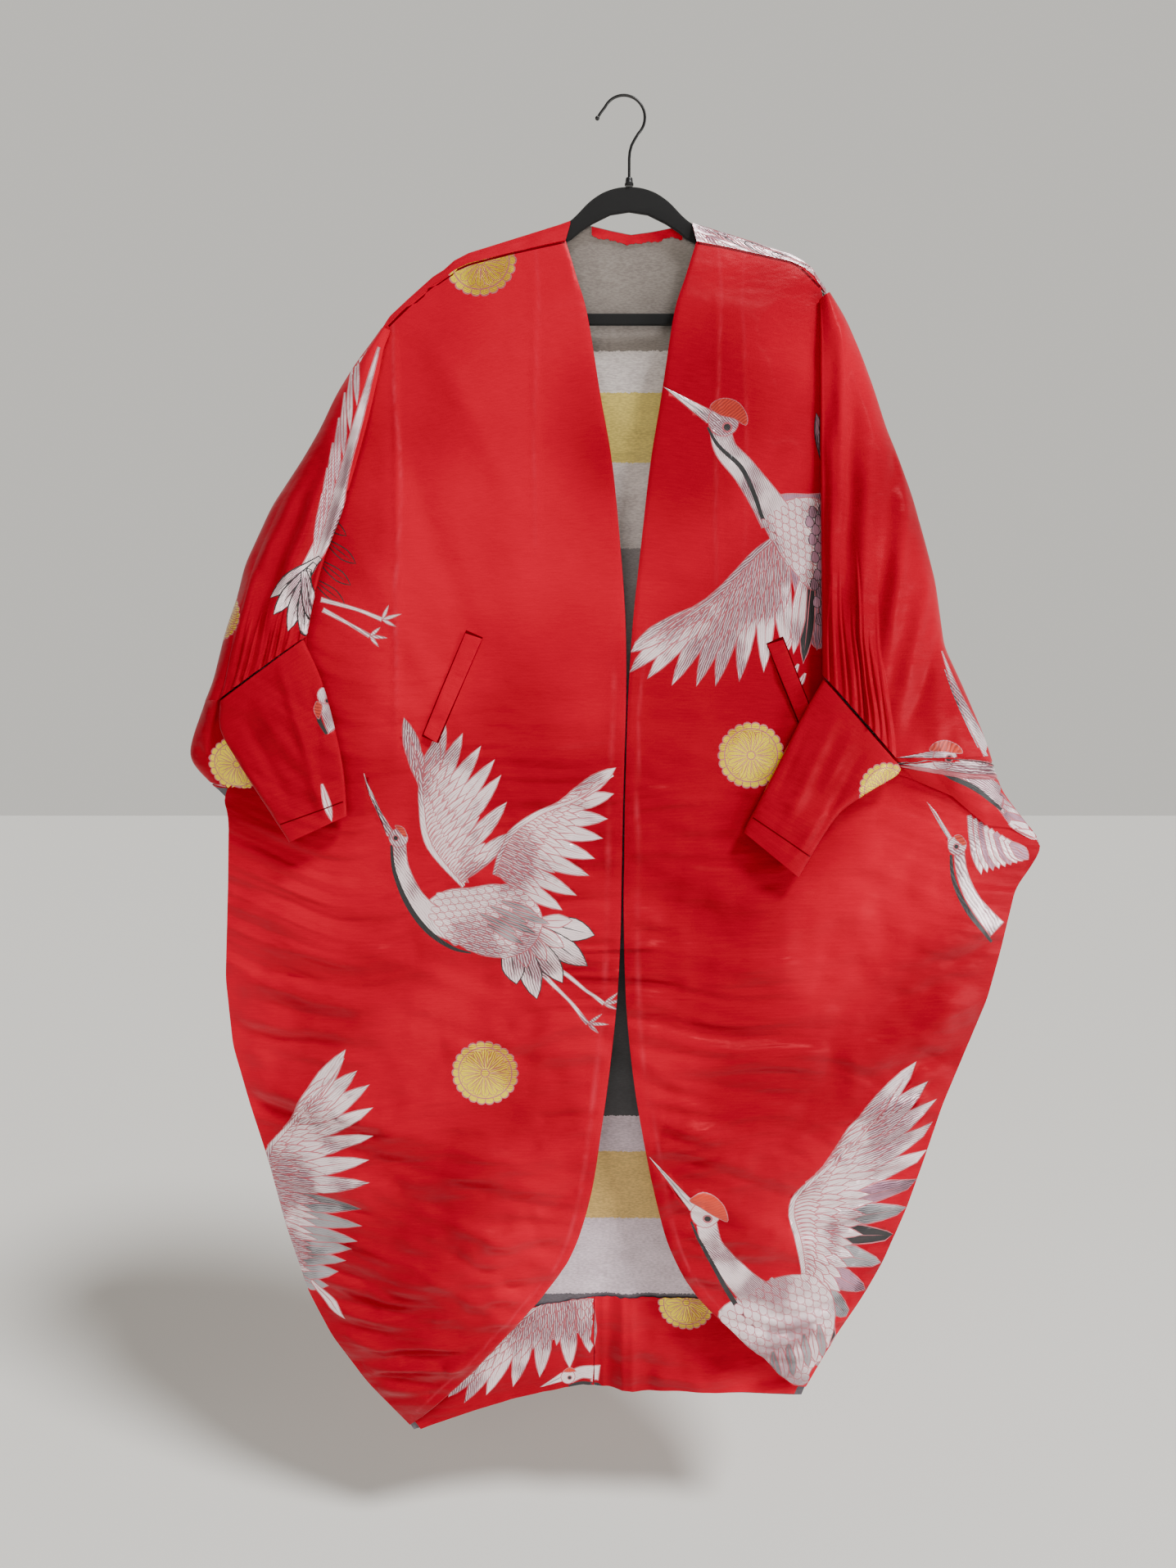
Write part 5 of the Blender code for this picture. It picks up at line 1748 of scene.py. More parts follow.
def add(tree: Tree, kind: str, inputs: dict[str | int, object] | tuple = (),
        out: str | int = 0, **settings: object) -> Socket:
    """Adds a node with its settings and links.

    Args:
        tree: The tree that takes it.
        kind: The node's type, without its "ShaderNode".
        inputs: A value, a hex colour or a socket to link for each input, in order or by key.
        out: The output that is wanted, by name or number.
        **settings: The node's own settings.

    Returns:
        That output.
    """
    made = tree.nodes.new("ShaderNode" + kind)
    for key, value in settings.items():
        setattr(made, key, value)
    feed(tree, made, inputs if isinstance(inputs, dict) else dict(enumerate(inputs)))
    return made.outputs[out]


# Settings that several nodes share: a soft ramp, and a mix of two colours with its output.
EASED = {"interpolation_type": "SMOOTHSTEP"}
MIXED = {"out": 2, "data_type": "RGBA"}


def swells(tree: Tree, source: Socket, counts: tuple[float, float, float],
           detail: float = 3.0) -> Socket:
    """Cloudy unevenness with a mean of about 0.5, its swells counted in a metre on each axis."""
    stretched = add(tree, "VectorMath", (source, counts), operation="MULTIPLY")
    return add(tree, "TexNoise", {"Vector": stretched, "Scale": 1.0, "Detail": detail})


SILK_IOR = 1.54

# Shallow unevenness of cloth that hangs by its own weight: about 45 mm across and 21 mm up.
UNEVEN = (22.0, 22.0, 48.0)


def bands(pitch: float) -> float:
    """A wave's scale for bands a pitch apart, in metres: its phase is 20 times scale and place."""
    return math.pi / (10 * pitch)


@dataclass(frozen=True)
class Satin:
    """Silk satin in a heavy weight: floats that catch a soft bright streak, and old wear."""

    name: str
    deep: str = "8C0018"
    bright: str = "CC002A"
    pale: str = "E4465C"
    roughness: float = 0.35
    thread_pitch: float = 0.0011
    thread_depth: float = 0.00004
    crumple: float = 0.0016
    wrinkle: float = 0.018
    worn: float = 0.42

    def make(self) -> bpy.types.Material:
        """Makes the material.

        Returns:
            The material.
        """
        material, tree, shader = started(self.name)
        cloth = add(tree, "UVMap", uv_map="grain")
        place = add(tree, "TexCoord", out="Object")
        # Large soft changes of depth, as silk fades and gathers dirt unevenly.
        broad = add(tree, "TexNoise", {"Vector": place, "Scale": 3.2, "Detail": 2.0})
        broad = add(tree, "MapRange", (broad, 0.36, 0.66, 0.0, 0.75), **EASED)
        # Weft floats: streaks across the cloth, coarser than the real 0.2 mm threads so that
        # they still show at the whole coat's scale.
        streak = swells(tree, cloth, (45.0, 900.0, 1.0))
        share = add(tree, "Math", (streak, 0.4, broad), operation="MULTIPLY_ADD")
        colour = add(tree, "Mix", {0: share, 6: self.deep, 7: self.bright}, **MIXED)
        # Old pressed lines, paler in small patches where they have rubbed.
        fade = add(tree, "Attribute", out="Fac", attribute_name="fade")
        rubbed = add(tree, "TexNoise", {"Vector": place, "Scale": 60.0, "Detail": 3.0})
        rubbed = add(tree, "MapRange", (rubbed, 0.2, 0.6, 0.0, self.worn), **EASED)
        rubbed = add(tree, "Math", (fade, rubbed), operation="MULTIPLY")
        colour = add(tree, "Mix", {0: rubbed, 6: colour, 7: self.pale}, **MIXED)
        # The weave is drawn at 1.1 mm, about five times its real pitch; finer would only shimmer.
        weave = add(tree, "TexWave", {"Vector": cloth, "Scale": bands(self.thread_pitch)}, "Fac",
                    bands_direction="Y")
        slub = swells(tree, cloth, (160.0, 1500.0, 1.0), 2.0)
        threads = add(tree, "Math", (weave, slub), operation="ADD")
        woven = add(tree, "Bump", {"Height": threads, "Distance": self.thread_depth,
                                   "Strength": 0.5})
        soft = swells(tree, place, UNEVEN)
        fine = swells(tree, place, (90.0, 90.0, 190.0), 2.0)
        height = add(tree, "Math", (fine, 0.16, soft), operation="MULTIPLY_ADD")
        normal = add(tree, "Bump", {"Height": height, "Distance": self.crumple, "Strength": 1.0,
                                    "Normal": woven})
        # Wrinkles that run across and wander, most of them low down where the cloth hangs slack.
        wander = add(tree, "TexNoise", {"Vector": place, "Scale": 2.4, "Detail": 1.0})
        leant = add(tree, "VectorMath", (wander, (0.0, 0.0, 0.3), place),
                    operation="MULTIPLY_ADD")
        level = add(tree, "SeparateXYZ", (place,), 2)
        slack = add(tree, "MapRange", (level, -0.45, -0.95, 0.08, 1.08), **EASED)
        gone = add(tree, "TexNoise", {"Vector": place, "Scale": 4.5, "Detail": 3.0})
        gone = add(tree, "MapRange", (gone, 0.3, 0.58), **EASED)
        depth = add(tree, "Math", (slack, gone), operation="MULTIPLY")
        wave = swells(tree, leant, (4.2, 4.2, 33.0), 1.4)
        wave = add(tree, "Math", (wave, depth), operation="MULTIPLY")
        normal = add(tree, "Bump", {"Height": wave, "Distance": self.wrinkle, "Strength": 1.0,
                                    "Normal": normal})
        rough = add(tree, "Math", (streak, 0.1, self.roughness - 0.05), operation="MULTIPLY_ADD")
        feed(tree, shader, {"Base Color": colour, "Roughness": rough, "Normal": normal,
                            "Specular IOR Level": 0.25, "Specular Tint": "FF3848",
                            "IOR": SILK_IOR, "Anisotropic": 0.5})
        return material


@dataclass(frozen=True)
class Floats:
    """Brocade weft floating over the satin: flat bright threads laid side by side, with painted
    highlight and shade in patches.
    """

    name: str
    high: str
    low: str
    metallic: float = 0.25
    roughness: float = 0.36
    pitch: float = 0.0022
    raised: float = 0.00016
    crumple: float = 0.0011
    # How strongly the patches of painted highlight and shade show.
    contrast: float = 0.64

    def make(self) -> bpy.types.Material:
        """Makes the material.

        Returns:
            The material.
        """
        material, tree, shader = started(self.name)
        run = add(tree, "UVMap", uv_map="strokes")
        place = add(tree, "TexCoord", out="Object")
        wander = add(tree, "TexNoise", {"Vector": place, "Scale": 120.0, "Detail": 2.0})
        bent = add(tree, "VectorMath", (wander, (0.0, 0.003, 0.0), run),
                   operation="MULTIPLY_ADD")
        # Each line is a bundle of several real threads, so that feathers read from afar.
        lines = add(tree, "TexWave", {"Vector": bent, "Scale": bands(self.pitch)}, "Fac",
                    bands_direction="Y")
        broken = swells(tree, run, (110.0, 900.0, 1.0), 2.0)
        # Painted highlight and shade: bright and dark patches a few centimetres across, for foil
        # catching the light as the cloth bends.
        cloud = add(tree, "TexNoise", {"Vector": place, "Scale": 19.0, "Detail": 2.0})
        cloud = add(tree, "MapRange", (cloud, 0.36, 0.62, 0.0, 1 - self.contrast), **EASED)
        share = add(tree, "Math", (lines, broken), operation="ADD")
        share = add(tree, "Math", (share, 0.5 * self.contrast, cloud), operation="MULTIPLY_ADD")
        share = add(tree, "MapRange", (share, 0.16, 0.7), **EASED)
        colour = add(tree, "Mix", {0: share, 6: self.low, 7: self.high}, **MIXED)
        height = add(tree, "Math", (broken, 0.7, lines), operation="MULTIPLY_ADD")
        raised = add(tree, "Bump", {"Height": height, "Distance": self.raised, "Strength": 0.8})
        soft = swells(tree, place, UNEVEN)
        normal = add(tree, "Bump", {"Height": soft, "Distance": self.crumple, "Strength": 1.0,
                                    "Normal": raised})
        feed(tree, shader, {"Base Color": colour, "Normal": normal, "Roughness": self.roughness,
                            "Metallic": self.metallic, "IOR": SILK_IOR, "Sheen Weight": 0.1})
        return material


class Band(NamedTuple):
    """One colour of the reverse, from a height down."""

    top: float
    colour: str


@dataclass(frozen=True)
class Reverse:
    """The reverse of the brocade: the floats that the right side doesn't show, in broad bands."""

    name: str
    bands: tuple[Band, ...] = (
        Band(0, "9C948C"), Band(-260, "FBF4F0"), Band(-303, "FAE474"), Band(-381, "FBF2F0"),
        Band(-473, "A8A2A4"), Band(-700, "6E6A72"), Band(-929, "3B393E"), Band(-1126, "EEDAE6"),
        Band(-1174, "F2CC74"), Band(-1255, "F4E2EC"), Band(-1345, "6B666E"),
    )
    lowest: float = -1600.0
    shade: str = "C4BEC0"
    ragged: float = 0.005
    raised: float = 0.0002

    def make(self) -> bpy.types.Material:
        """Makes the material.

        Returns:
            The material.
        """
        material, tree, shader = started(self.name)
        place = add(tree, "TexCoord", out="Object")
        level = add(tree, "SeparateXYZ", (place,), 2)
        ragged = swells(tree, place, (420.0, 420.0, 60.0))
        level = add(tree, "Math", (ragged, self.ragged, level), operation="MULTIPLY_ADD")
        span = add(tree, "MapRange", (level, self.lowest * MM, 0.0))
        banded = add(tree, "ValToRGB", (span,))
        ramp = banded.node.color_ramp
        ramp.interpolation = "CONSTANT"
        while len(ramp.elements) < len(self.bands):
            ramp.elements.new(0.5)
        # The ramp reads upward, so the last band comes first and starts at its lower end.
        lows = [self.lowest] + [band.top for band in self.bands[:0:-1]]
        for stop, band, low in zip(ramp.elements, self.bands[::-1], lows):
            stop.position = 1 - low / self.lowest
            stop.color = linear(band.colour)
        # Loose floats in broken horizontal dashes, about 1 mm deep.
        dashes = swells(tree, place, (230.0, 230.0, 900.0))
        lit = add(tree, "MapRange", (dashes, 0.35, 0.65, 0.0, 0.5), **EASED)
        cloud = swells(tree, place, (30.0, 30.0, 60.0))
        cloud = add(tree, "MapRange", (cloud, 0.3, 0.7, 0.0, 0.25), **EASED)
        share = add(tree, "Math", (lit, cloud), operation="ADD")
        dark = add(tree, "Mix", {0: 1.0, 6: banded, 7: self.shade}, blend_type="MULTIPLY", **MIXED)
        colour = add(tree, "Mix", {0: share, 6: dark, 7: banded}, **MIXED)
        normal = add(tree, "Bump", {"Height": dashes, "Distance": self.raised, "Strength": 0.7})
        feed(tree, shader, {"Base Color": colour, "Normal": normal, "Roughness": 0.42,
                            "Metallic": 0.1, "IOR": SILK_IOR})
        return material


@dataclass(frozen=True)
class Solid:
    """A plain finish: its colour, how rough it is, its nap or its fine unevenness."""

    name: str
    colour: str
    roughness: float
    sheen: float = 0.0
    coat: float = 0.0
    grain: float = 0.0
    grain_scale: float = 900.0

    def make(self) -> bpy.types.Material:
        """Makes the material.

        Returns:
            The material.
        """
        material, tree, shader = started(self.name)
        feed(tree, shader, {"Base Color": self.colour, "Roughness": self.roughness,
                            "Sheen Weight": self.sheen, "Sheen Roughness": 0.6,
                            "Coat Weight": self.coat, "IOR": 1.5})
        if self.grain:
            place = add(tree, "TexCoord", out="Object")
            nap = add(tree, "TexNoise", {"Vector": place, "Scale": self.grain_scale,
                                         "Detail": 2.0})
            normal = add(tree, "Bump", {"Height": nap, "Distance": self.grain, "Strength": 1.0})
            feed(tree, shader, {"Normal": normal})
        return material


def started(name: str) -> tuple[bpy.types.Material, Tree, bpy.types.Node]:
    """A new material with its node tree and its shader.

    Args:
        name: The finish's name.

    Returns:
        The material, its tree and its shader.
    """
    material = bpy.data.materials.new(name)
    material.use_nodes = True
    return material, material.node_tree, material.node_tree.nodes["Principled BSDF"]


# The woven design: cranes and chrysanthemum roundels.

Point = tuple[float, float]


def curved(points: Sequence[Point], count: int) -> Array:
    """Points along a smooth open curve through a few."""
    return through(points, np.linspace(0, 1, count))


def closed(points: Sequence[Point], count: int) -> tuple[Point, ...]:
    """Points round a smooth closed curve through a few.

    Args:
        points: The points.
        count: How many points the curve gets.

    Returns:
        The points round the curve.
    """
    ring = [points[-1], *points, points[0], points[1]]
    size = len(ring) - 1
    share = np.linspace(1 / size, (size - 1) / size, count, endpoint=False)
    return tuple(map(tuple, through(ring, share)))


def inward(points: Sequence[Point], by: float) -> tuple[Point, ...]:
    """A closed shape drawn in from its outline.

    Args:
        points: The outline's points, in order.
        by: How far it is drawn in.

    Returns:
        The smaller outline.
    """
    ring = np.array(points, float)
    before, after = np.roll(ring, 1, 0), np.roll(ring, -1, 0)
    run = after - before
    area = np.sum(ring[:, 0] * after[:, 1] - ring[:, 1] * after[:, 0])
    side = np.stack([-run[:, 1], run[:, 0]], 1) * (1 if area > 0 else -1)
    side /= np.maximum(np.linalg.norm(side, axis=1, keepdims=True), 1e-9)
    return tuple(map(tuple, ring + side * by))


def ribbon(points: Sequence[Point], widths: Sequence[float]) -> tuple[Point, ...]:
    """A strip along a smooth curve, its width read from a few along it.

    Args:
        points: The points that its middle passes.
        widths: Its widths, evenly spaced along it.

    Returns:
        The strip's outline.
    """
    count = 26
    line = curved(points, count)
    run = np.gradient(line, axis=0)
    side = np.stack([-run[:, 1], run[:, 0]], 1)
    side /= np.maximum(np.linalg.norm(side, axis=1, keepdims=True), 1e-9)
    half = np.interp(np.linspace(0, 1, count), np.linspace(0, 1, len(widths)), widths) / 2
    left, right = line + side * half[:, None], line - side * half[:, None]
    return tuple(map(tuple, np.concatenate([left, right[::-1]])))


def leaf(base: Point, tip: Point, width: float, full: float = 0.62, sway: float = 0.0,
         blunt: float = 1.35) -> tuple[Point, ...]:
    """A feather's outline: narrow at the base, fullest past its middle, blunt or pointed.

    Args:
        base: Where it grows from.
        tip: Its far end.
        width: Its greatest width.
        full: The share of its length at which it is widest.
        sway: How far its middle bends aside.
        blunt: How blunt its tip is.

    Returns:
        The feather's outline.
    """
    base, tip = np.array(base, float), np.array(tip, float)
    along = np.linspace(0, 1, 9)
    run = tip - base
    side = np.array((-run[1], run[0])) / max(np.hypot(*run), 1e-9)
    lean = np.sin(along * np.pi)[:, None] * side * sway
    past = np.clip((along - full) / (1 - full), 0, 1)
    swell = np.where(along < full, 0.35 + 0.65 * np.sin(along / full * np.pi / 2),
                     (1 - past**blunt) ** 0.75)
    half = swell[:, None] * side * width / 2
    middle = base + along[:, None] * run + lean
    return tuple(map(tuple, np.concatenate([middle + half, (middle - half)[-2::-1]])))


class Loom:
    """Draws shapes in the order that they cover each other."""

    def __init__(self) -> None:
        """Starts with no marks."""
        self.marks: list[Mark] = []

    def shape(self, points: Sequence[Point], weave: Weave, run: float = 0.0,
              edge: Weave | None = None, by: float = 1.3) -> None:
        """One shape, with a narrow line of another weave round it if wanted.

        Args:
            points: Its outline.
            weave: Its fill.
            run: The angle of its threads.
            edge: Its outline's weave.
            by: How wide the line round it is.
        """
        if edge:
            self.marks.append(Mark(tuple(points), edge, run))
            points = inward(points, by)
        self.marks.append(Mark(tuple(points), weave, run))

    def plume(self, base: Point, tip: Point, width: float, weave: Weave = Weave.SILVER,
              edge: Weave = Weave.ROSE, sway: float = 0.0) -> None:
        """A feather with its outline and its shaft.

        Args:
            base: Where it grows from.
            tip: Its far end.
            width: Its greatest width.
            weave: Its fill.
            edge: Its outline's weave.
            sway: How far its middle bends aside.
        """
        run = math.atan2(tip[1] - base[1], tip[0] - base[0])
        self.shape(leaf(base, tip, width, sway=sway), weave, run, edge, min(1.3, width * 0.12))
        near = (mix(base[0], tip[0], 0.12), mix(base[1], tip[1], 0.12))
        far = (mix(base[0], tip[0], 0.86), mix(base[1], tip[1], 0.86))
        self.shape(leaf(near, far, 1.3, 0.4, sway * 0.9), edge, run)

    def fan(self, roots: Sequence[Point], tips: Sequence[Point], count: int, width: float,
            reach: float = 1.0, jag: float = 0.0) -> None:
        """Feathers side by side from one curve to another.

        Args:
            roots: The curve that they grow from.
            tips: The curve that they reach, in the same order.
            count: How many.
            width: Each one's width.
            reach: How much of the way to the tips they go.
            jag: How unevenly long they are.
        """
        for k, (root, tip) in enumerate(zip(curved(roots, count), curved(tips, count))):
            far = root + (tip - root) * (reach * (1 + jag * math.sin(k * 2.4)))
            self.plume(tuple(root), tuple(far), width,
                       sway=0.03 * float(np.hypot(*(far - root))))

    def wing(self, lead: Sequence[Point], tips: Sequence[Point], width: float,
             tail: Sequence[Weave] = ()) -> None:
        """A spread wing: long feathers, two rows of shorter ones over them, and a front edge.

        Args:
            lead: Its front edge, from the tip in to the body.
            tips: The ends of its long feathers, in the same order.
            width: A long feather's width.
            tail: The weaves of the feathers nearest the body, if they aren't silver.
        """
        roots = through(lead, np.linspace(0.36, 0.95, len(tips)))
        hull = [*map(tuple, curved(lead, 14)), *[tuple(mix(r, np.array(t), 0.55))
                                                for r, t in zip(roots[::-1], tips[::-1])]]
        self.shape(hull, Weave.SILVER, math.atan2(tips[0][1] - lead[-1][1],
                                                  tips[0][0] - lead[-1][0]), Weave.ROSE)
        for k in range(len(tips) - 1, -1, -1):
            weave = tail[len(tips) - 1 - k] if len(tips) - 1 - k < len(tail) else Weave.SILVER
            self.plume(tuple(roots[k]), tips[k], width, weave, sway=-0.04 * width)
        self.fan(roots, tips, len(tips) * 2 - 1, width * 0.66, 0.62, jag=0.05)
        self.fan(roots, tips, len(tips) * 2, width * 0.56, 0.4, jag=0.06)
        self.fan(roots, tips, len(tips) * 3, width * 0.42, 0.21, jag=0.08)
        self.shape(ribbon(lead, (0.6, 4, 7, 8, 4)), Weave.SILVER,
                   math.atan2(lead[0][1] - lead[-1][1], lead[0][0] - lead[-1][0]), Weave.ROSE, 1.0)

    def scales(self, outline: Sequence[Point], size: float, heading: float,
               weave: Weave = Weave.SILVER, edge: Weave = Weave.ROSE) -> None:
        """Small overlapping feathers over a body, all pointing one way.

        Args:
            outline: The body's outline.
            size: A feather's length.
            heading: The angle that they point at.
            weave: Their fill.
            edge: Their outline's weave.
        """
        ring = np.array(outline, float)
        ax = np.array((math.cos(heading), math.sin(heading)))
        side = np.array((-ax[1], ax[0]))
        along, across = ring @ ax, ring @ side
        spots = []
        for i, a in enumerate(np.arange(along.min(), along.max(), size * 0.8)):
            for b in np.arange(across.min(), across.max(), size * 0.86) + (i % 2) * size * 0.43:
                spots.append((a, b))
        for a, b in reversed(spots):
            base = ax * a + side * b
            tip = base + ax * size
            if enclosed(ring, np.array((base, tip))).all():
                self.shape(leaf(tuple(base - ax * size * 0.15), tuple(tip), size * 0.84, 0.6,
                                blunt=2.2),
                           weave, heading, edge, 0.8)

    def neck(self, points: Sequence[Point], widths: Sequence[float],
             stripe: Sequence[Point], stripe_widths: Sequence[float]) -> None:
        """A long neck with the dark stripe down it.

        Args:
            points: The points that its middle passes.
            widths: Its widths along it.
            stripe: The points that the stripe passes.
            stripe_widths: The stripe's widths.
        """
        run = math.atan2(points[-1][1] - points[0][1], points[-1][0] - points[0][0])
        self.shape(ribbon(points, widths), Weave.SILVER, run, Weave.ROSE)
        self.shape(ribbon(stripe, stripe_widths), Weave.BLACK, run)

    def head(self, head: Point, radius: float, beak: tuple[Point, Point, Point],
             cap: Sequence[Point], eye: Point) -> None:
        """A crane's head.

        Args:
            head: Its centre.
            radius: Its half width.
            beak: Its tip, then its upper and lower root.
            cap: The red crown's outline.
            eye: The eye's centre.
        """
        tip, upper, lower = beak
        run = math.atan2(tip[1] - head[1], tip[0] - head[0])
        self.shape((tip, upper, head, lower), Weave.SILVER, run, Weave.ROSE, 0.9)
        middle = (mix(upper[0], lower[0], 0.5), mix(upper[1], lower[1], 0.5))
        self.shape(leaf(middle, (mix(tip[0], middle[0], 0.12), mix(tip[1], middle[1], 0.12)),
                        1.7, 0.3), Weave.GREY, run)
        self.shape(circle(head, radius), Weave.SILVER, run, Weave.ROSE, 1.0)
        self.shape(closed(cap, 24), Weave.CAP, run + 1.2, Weave.ROSE, 0.8)
        self.shape(circle(eye, radius * 0.34), Weave.ROSE, run)
        self.shape(circle(eye, radius * 0.22), Weave.BLACK, run)

    def seam(self, points: Sequence[Point], width: float = 1.6) -> None:
        """A painted shadow along a seam: a strip of dark satin along a line."""
        self.shape(ribbon(points, (width, width)), Weave.SEAM)

    def leg(self, points: Sequence[Point], toes: Sequence[Point]) -> None:
        """A thin leg with its spread toes.

        Args:
            points: The points that it passes.
            toes: The toes' tips.
        """
        width = 5.0
        run = math.atan2(points[-1][1] - points[0][1], points[-1][0] - points[0][0])
        foot = points[-1]
        for toe in toes:
            self.shape(leaf(foot, toe, width * 0.9, 0.4), Weave.SILVER, run, Weave.ROSE, 0.9)
        self.shape(ribbon(points, (width * 1.2, width * 0.8, width * 1.1)), Weave.SILVER, run,
                   Weave.ROSE, 0.9)

    def roundel(self, centre: Point, radius: float) -> None:
        """A chrysanthemum roundel: scalloped rim, inner ring and petals from the middle.

        Args:
            centre: Its middle.
            radius: Its radius.
        """
        lobes, petals = 22, 16
        turn = np.linspace(0, 2 * np.pi, lobes * 6, endpoint=False)
        for size, weave in ((1.0, Weave.ROSE), (0.955, Weave.GOLD)):
            out = radius * size * (0.93 + 0.07 * np.abs(np.cos(turn * lobes / 2)) ** 0.6)
            points = np.array(centre) + np.stack([np.cos(turn), np.sin(turn)], 1) * out[:, None]
            self.shape(tuple(map(tuple, points)), weave)
        for k in range(lobes):
            a = 2 * math.pi * (k + 0.5) / lobes
            near, far = spoke(centre, a, radius * 0.8), spoke(centre, a, radius * 0.93)
            self.shape(leaf(near, far, 1.1, 0.5), Weave.ROSE, a)
        self.shape(circle(centre, radius * 0.81, 40), Weave.ROSE)
        self.shape(circle(centre, radius * 0.775, 40), Weave.GOLD)
        for k in range(petals):
            a = 2 * math.pi * k / petals
            self.shape(leaf(spoke(centre, a, radius * 0.12), spoke(centre, a, radius * 0.76),
                            radius * 0.27, 0.75, blunt=2.4), Weave.GOLD, a, Weave.ROSE, 0.7)
            self.shape(leaf(spoke(centre, a, radius * 0.2), spoke(centre, a, radius * 0.68),
                            1.0, 0.5), Weave.ROSE, a)
        self.shape(circle(centre, radius * 0.13, 20), Weave.GOLD, 0.0, Weave.ROSE, 0.9)


def spoke(centre: Point, turn: float, radius: float) -> Point:
    """A point at a turn and distance from a centre."""
    return centre[0] + radius * math.cos(turn), centre[1] + radius * math.sin(turn)


def circle(centre: Point, radius: float, count: int = 18) -> tuple[Point, ...]:
    """A circle's points."""
    return tuple(spoke(centre, a, radius) for a in np.linspace(0, 2 * np.pi, count + 1)[:-1])


def moved(marks: Sequence[Mark], across: float, up: float, turn: float = 0.0,
          mirrored: bool = False) -> list[Mark]:
    """Copies of some marks, mirrored, turned about the origin, then shifted.

    Args:
        marks: The marks.
        across: How far they shift to the right.
        up: How far they shift up.
        turn: The angle that they turn by.
        mirrored: Whether they are mirrored first.

    Returns:
        The copies.
    """
    copies = []
    c, s = math.cos(turn), math.sin(turn)
    for mark in marks:
        points = [((-x if mirrored else x), z) for x, z in mark.points]
        run = math.pi - mark.run if mirrored else mark.run
        points = tuple((x * c - z * s + across, x * s + z * c + up) for x, z in points)
        copies.append(Mark(points, mark.weave, run + turn))
    return copies


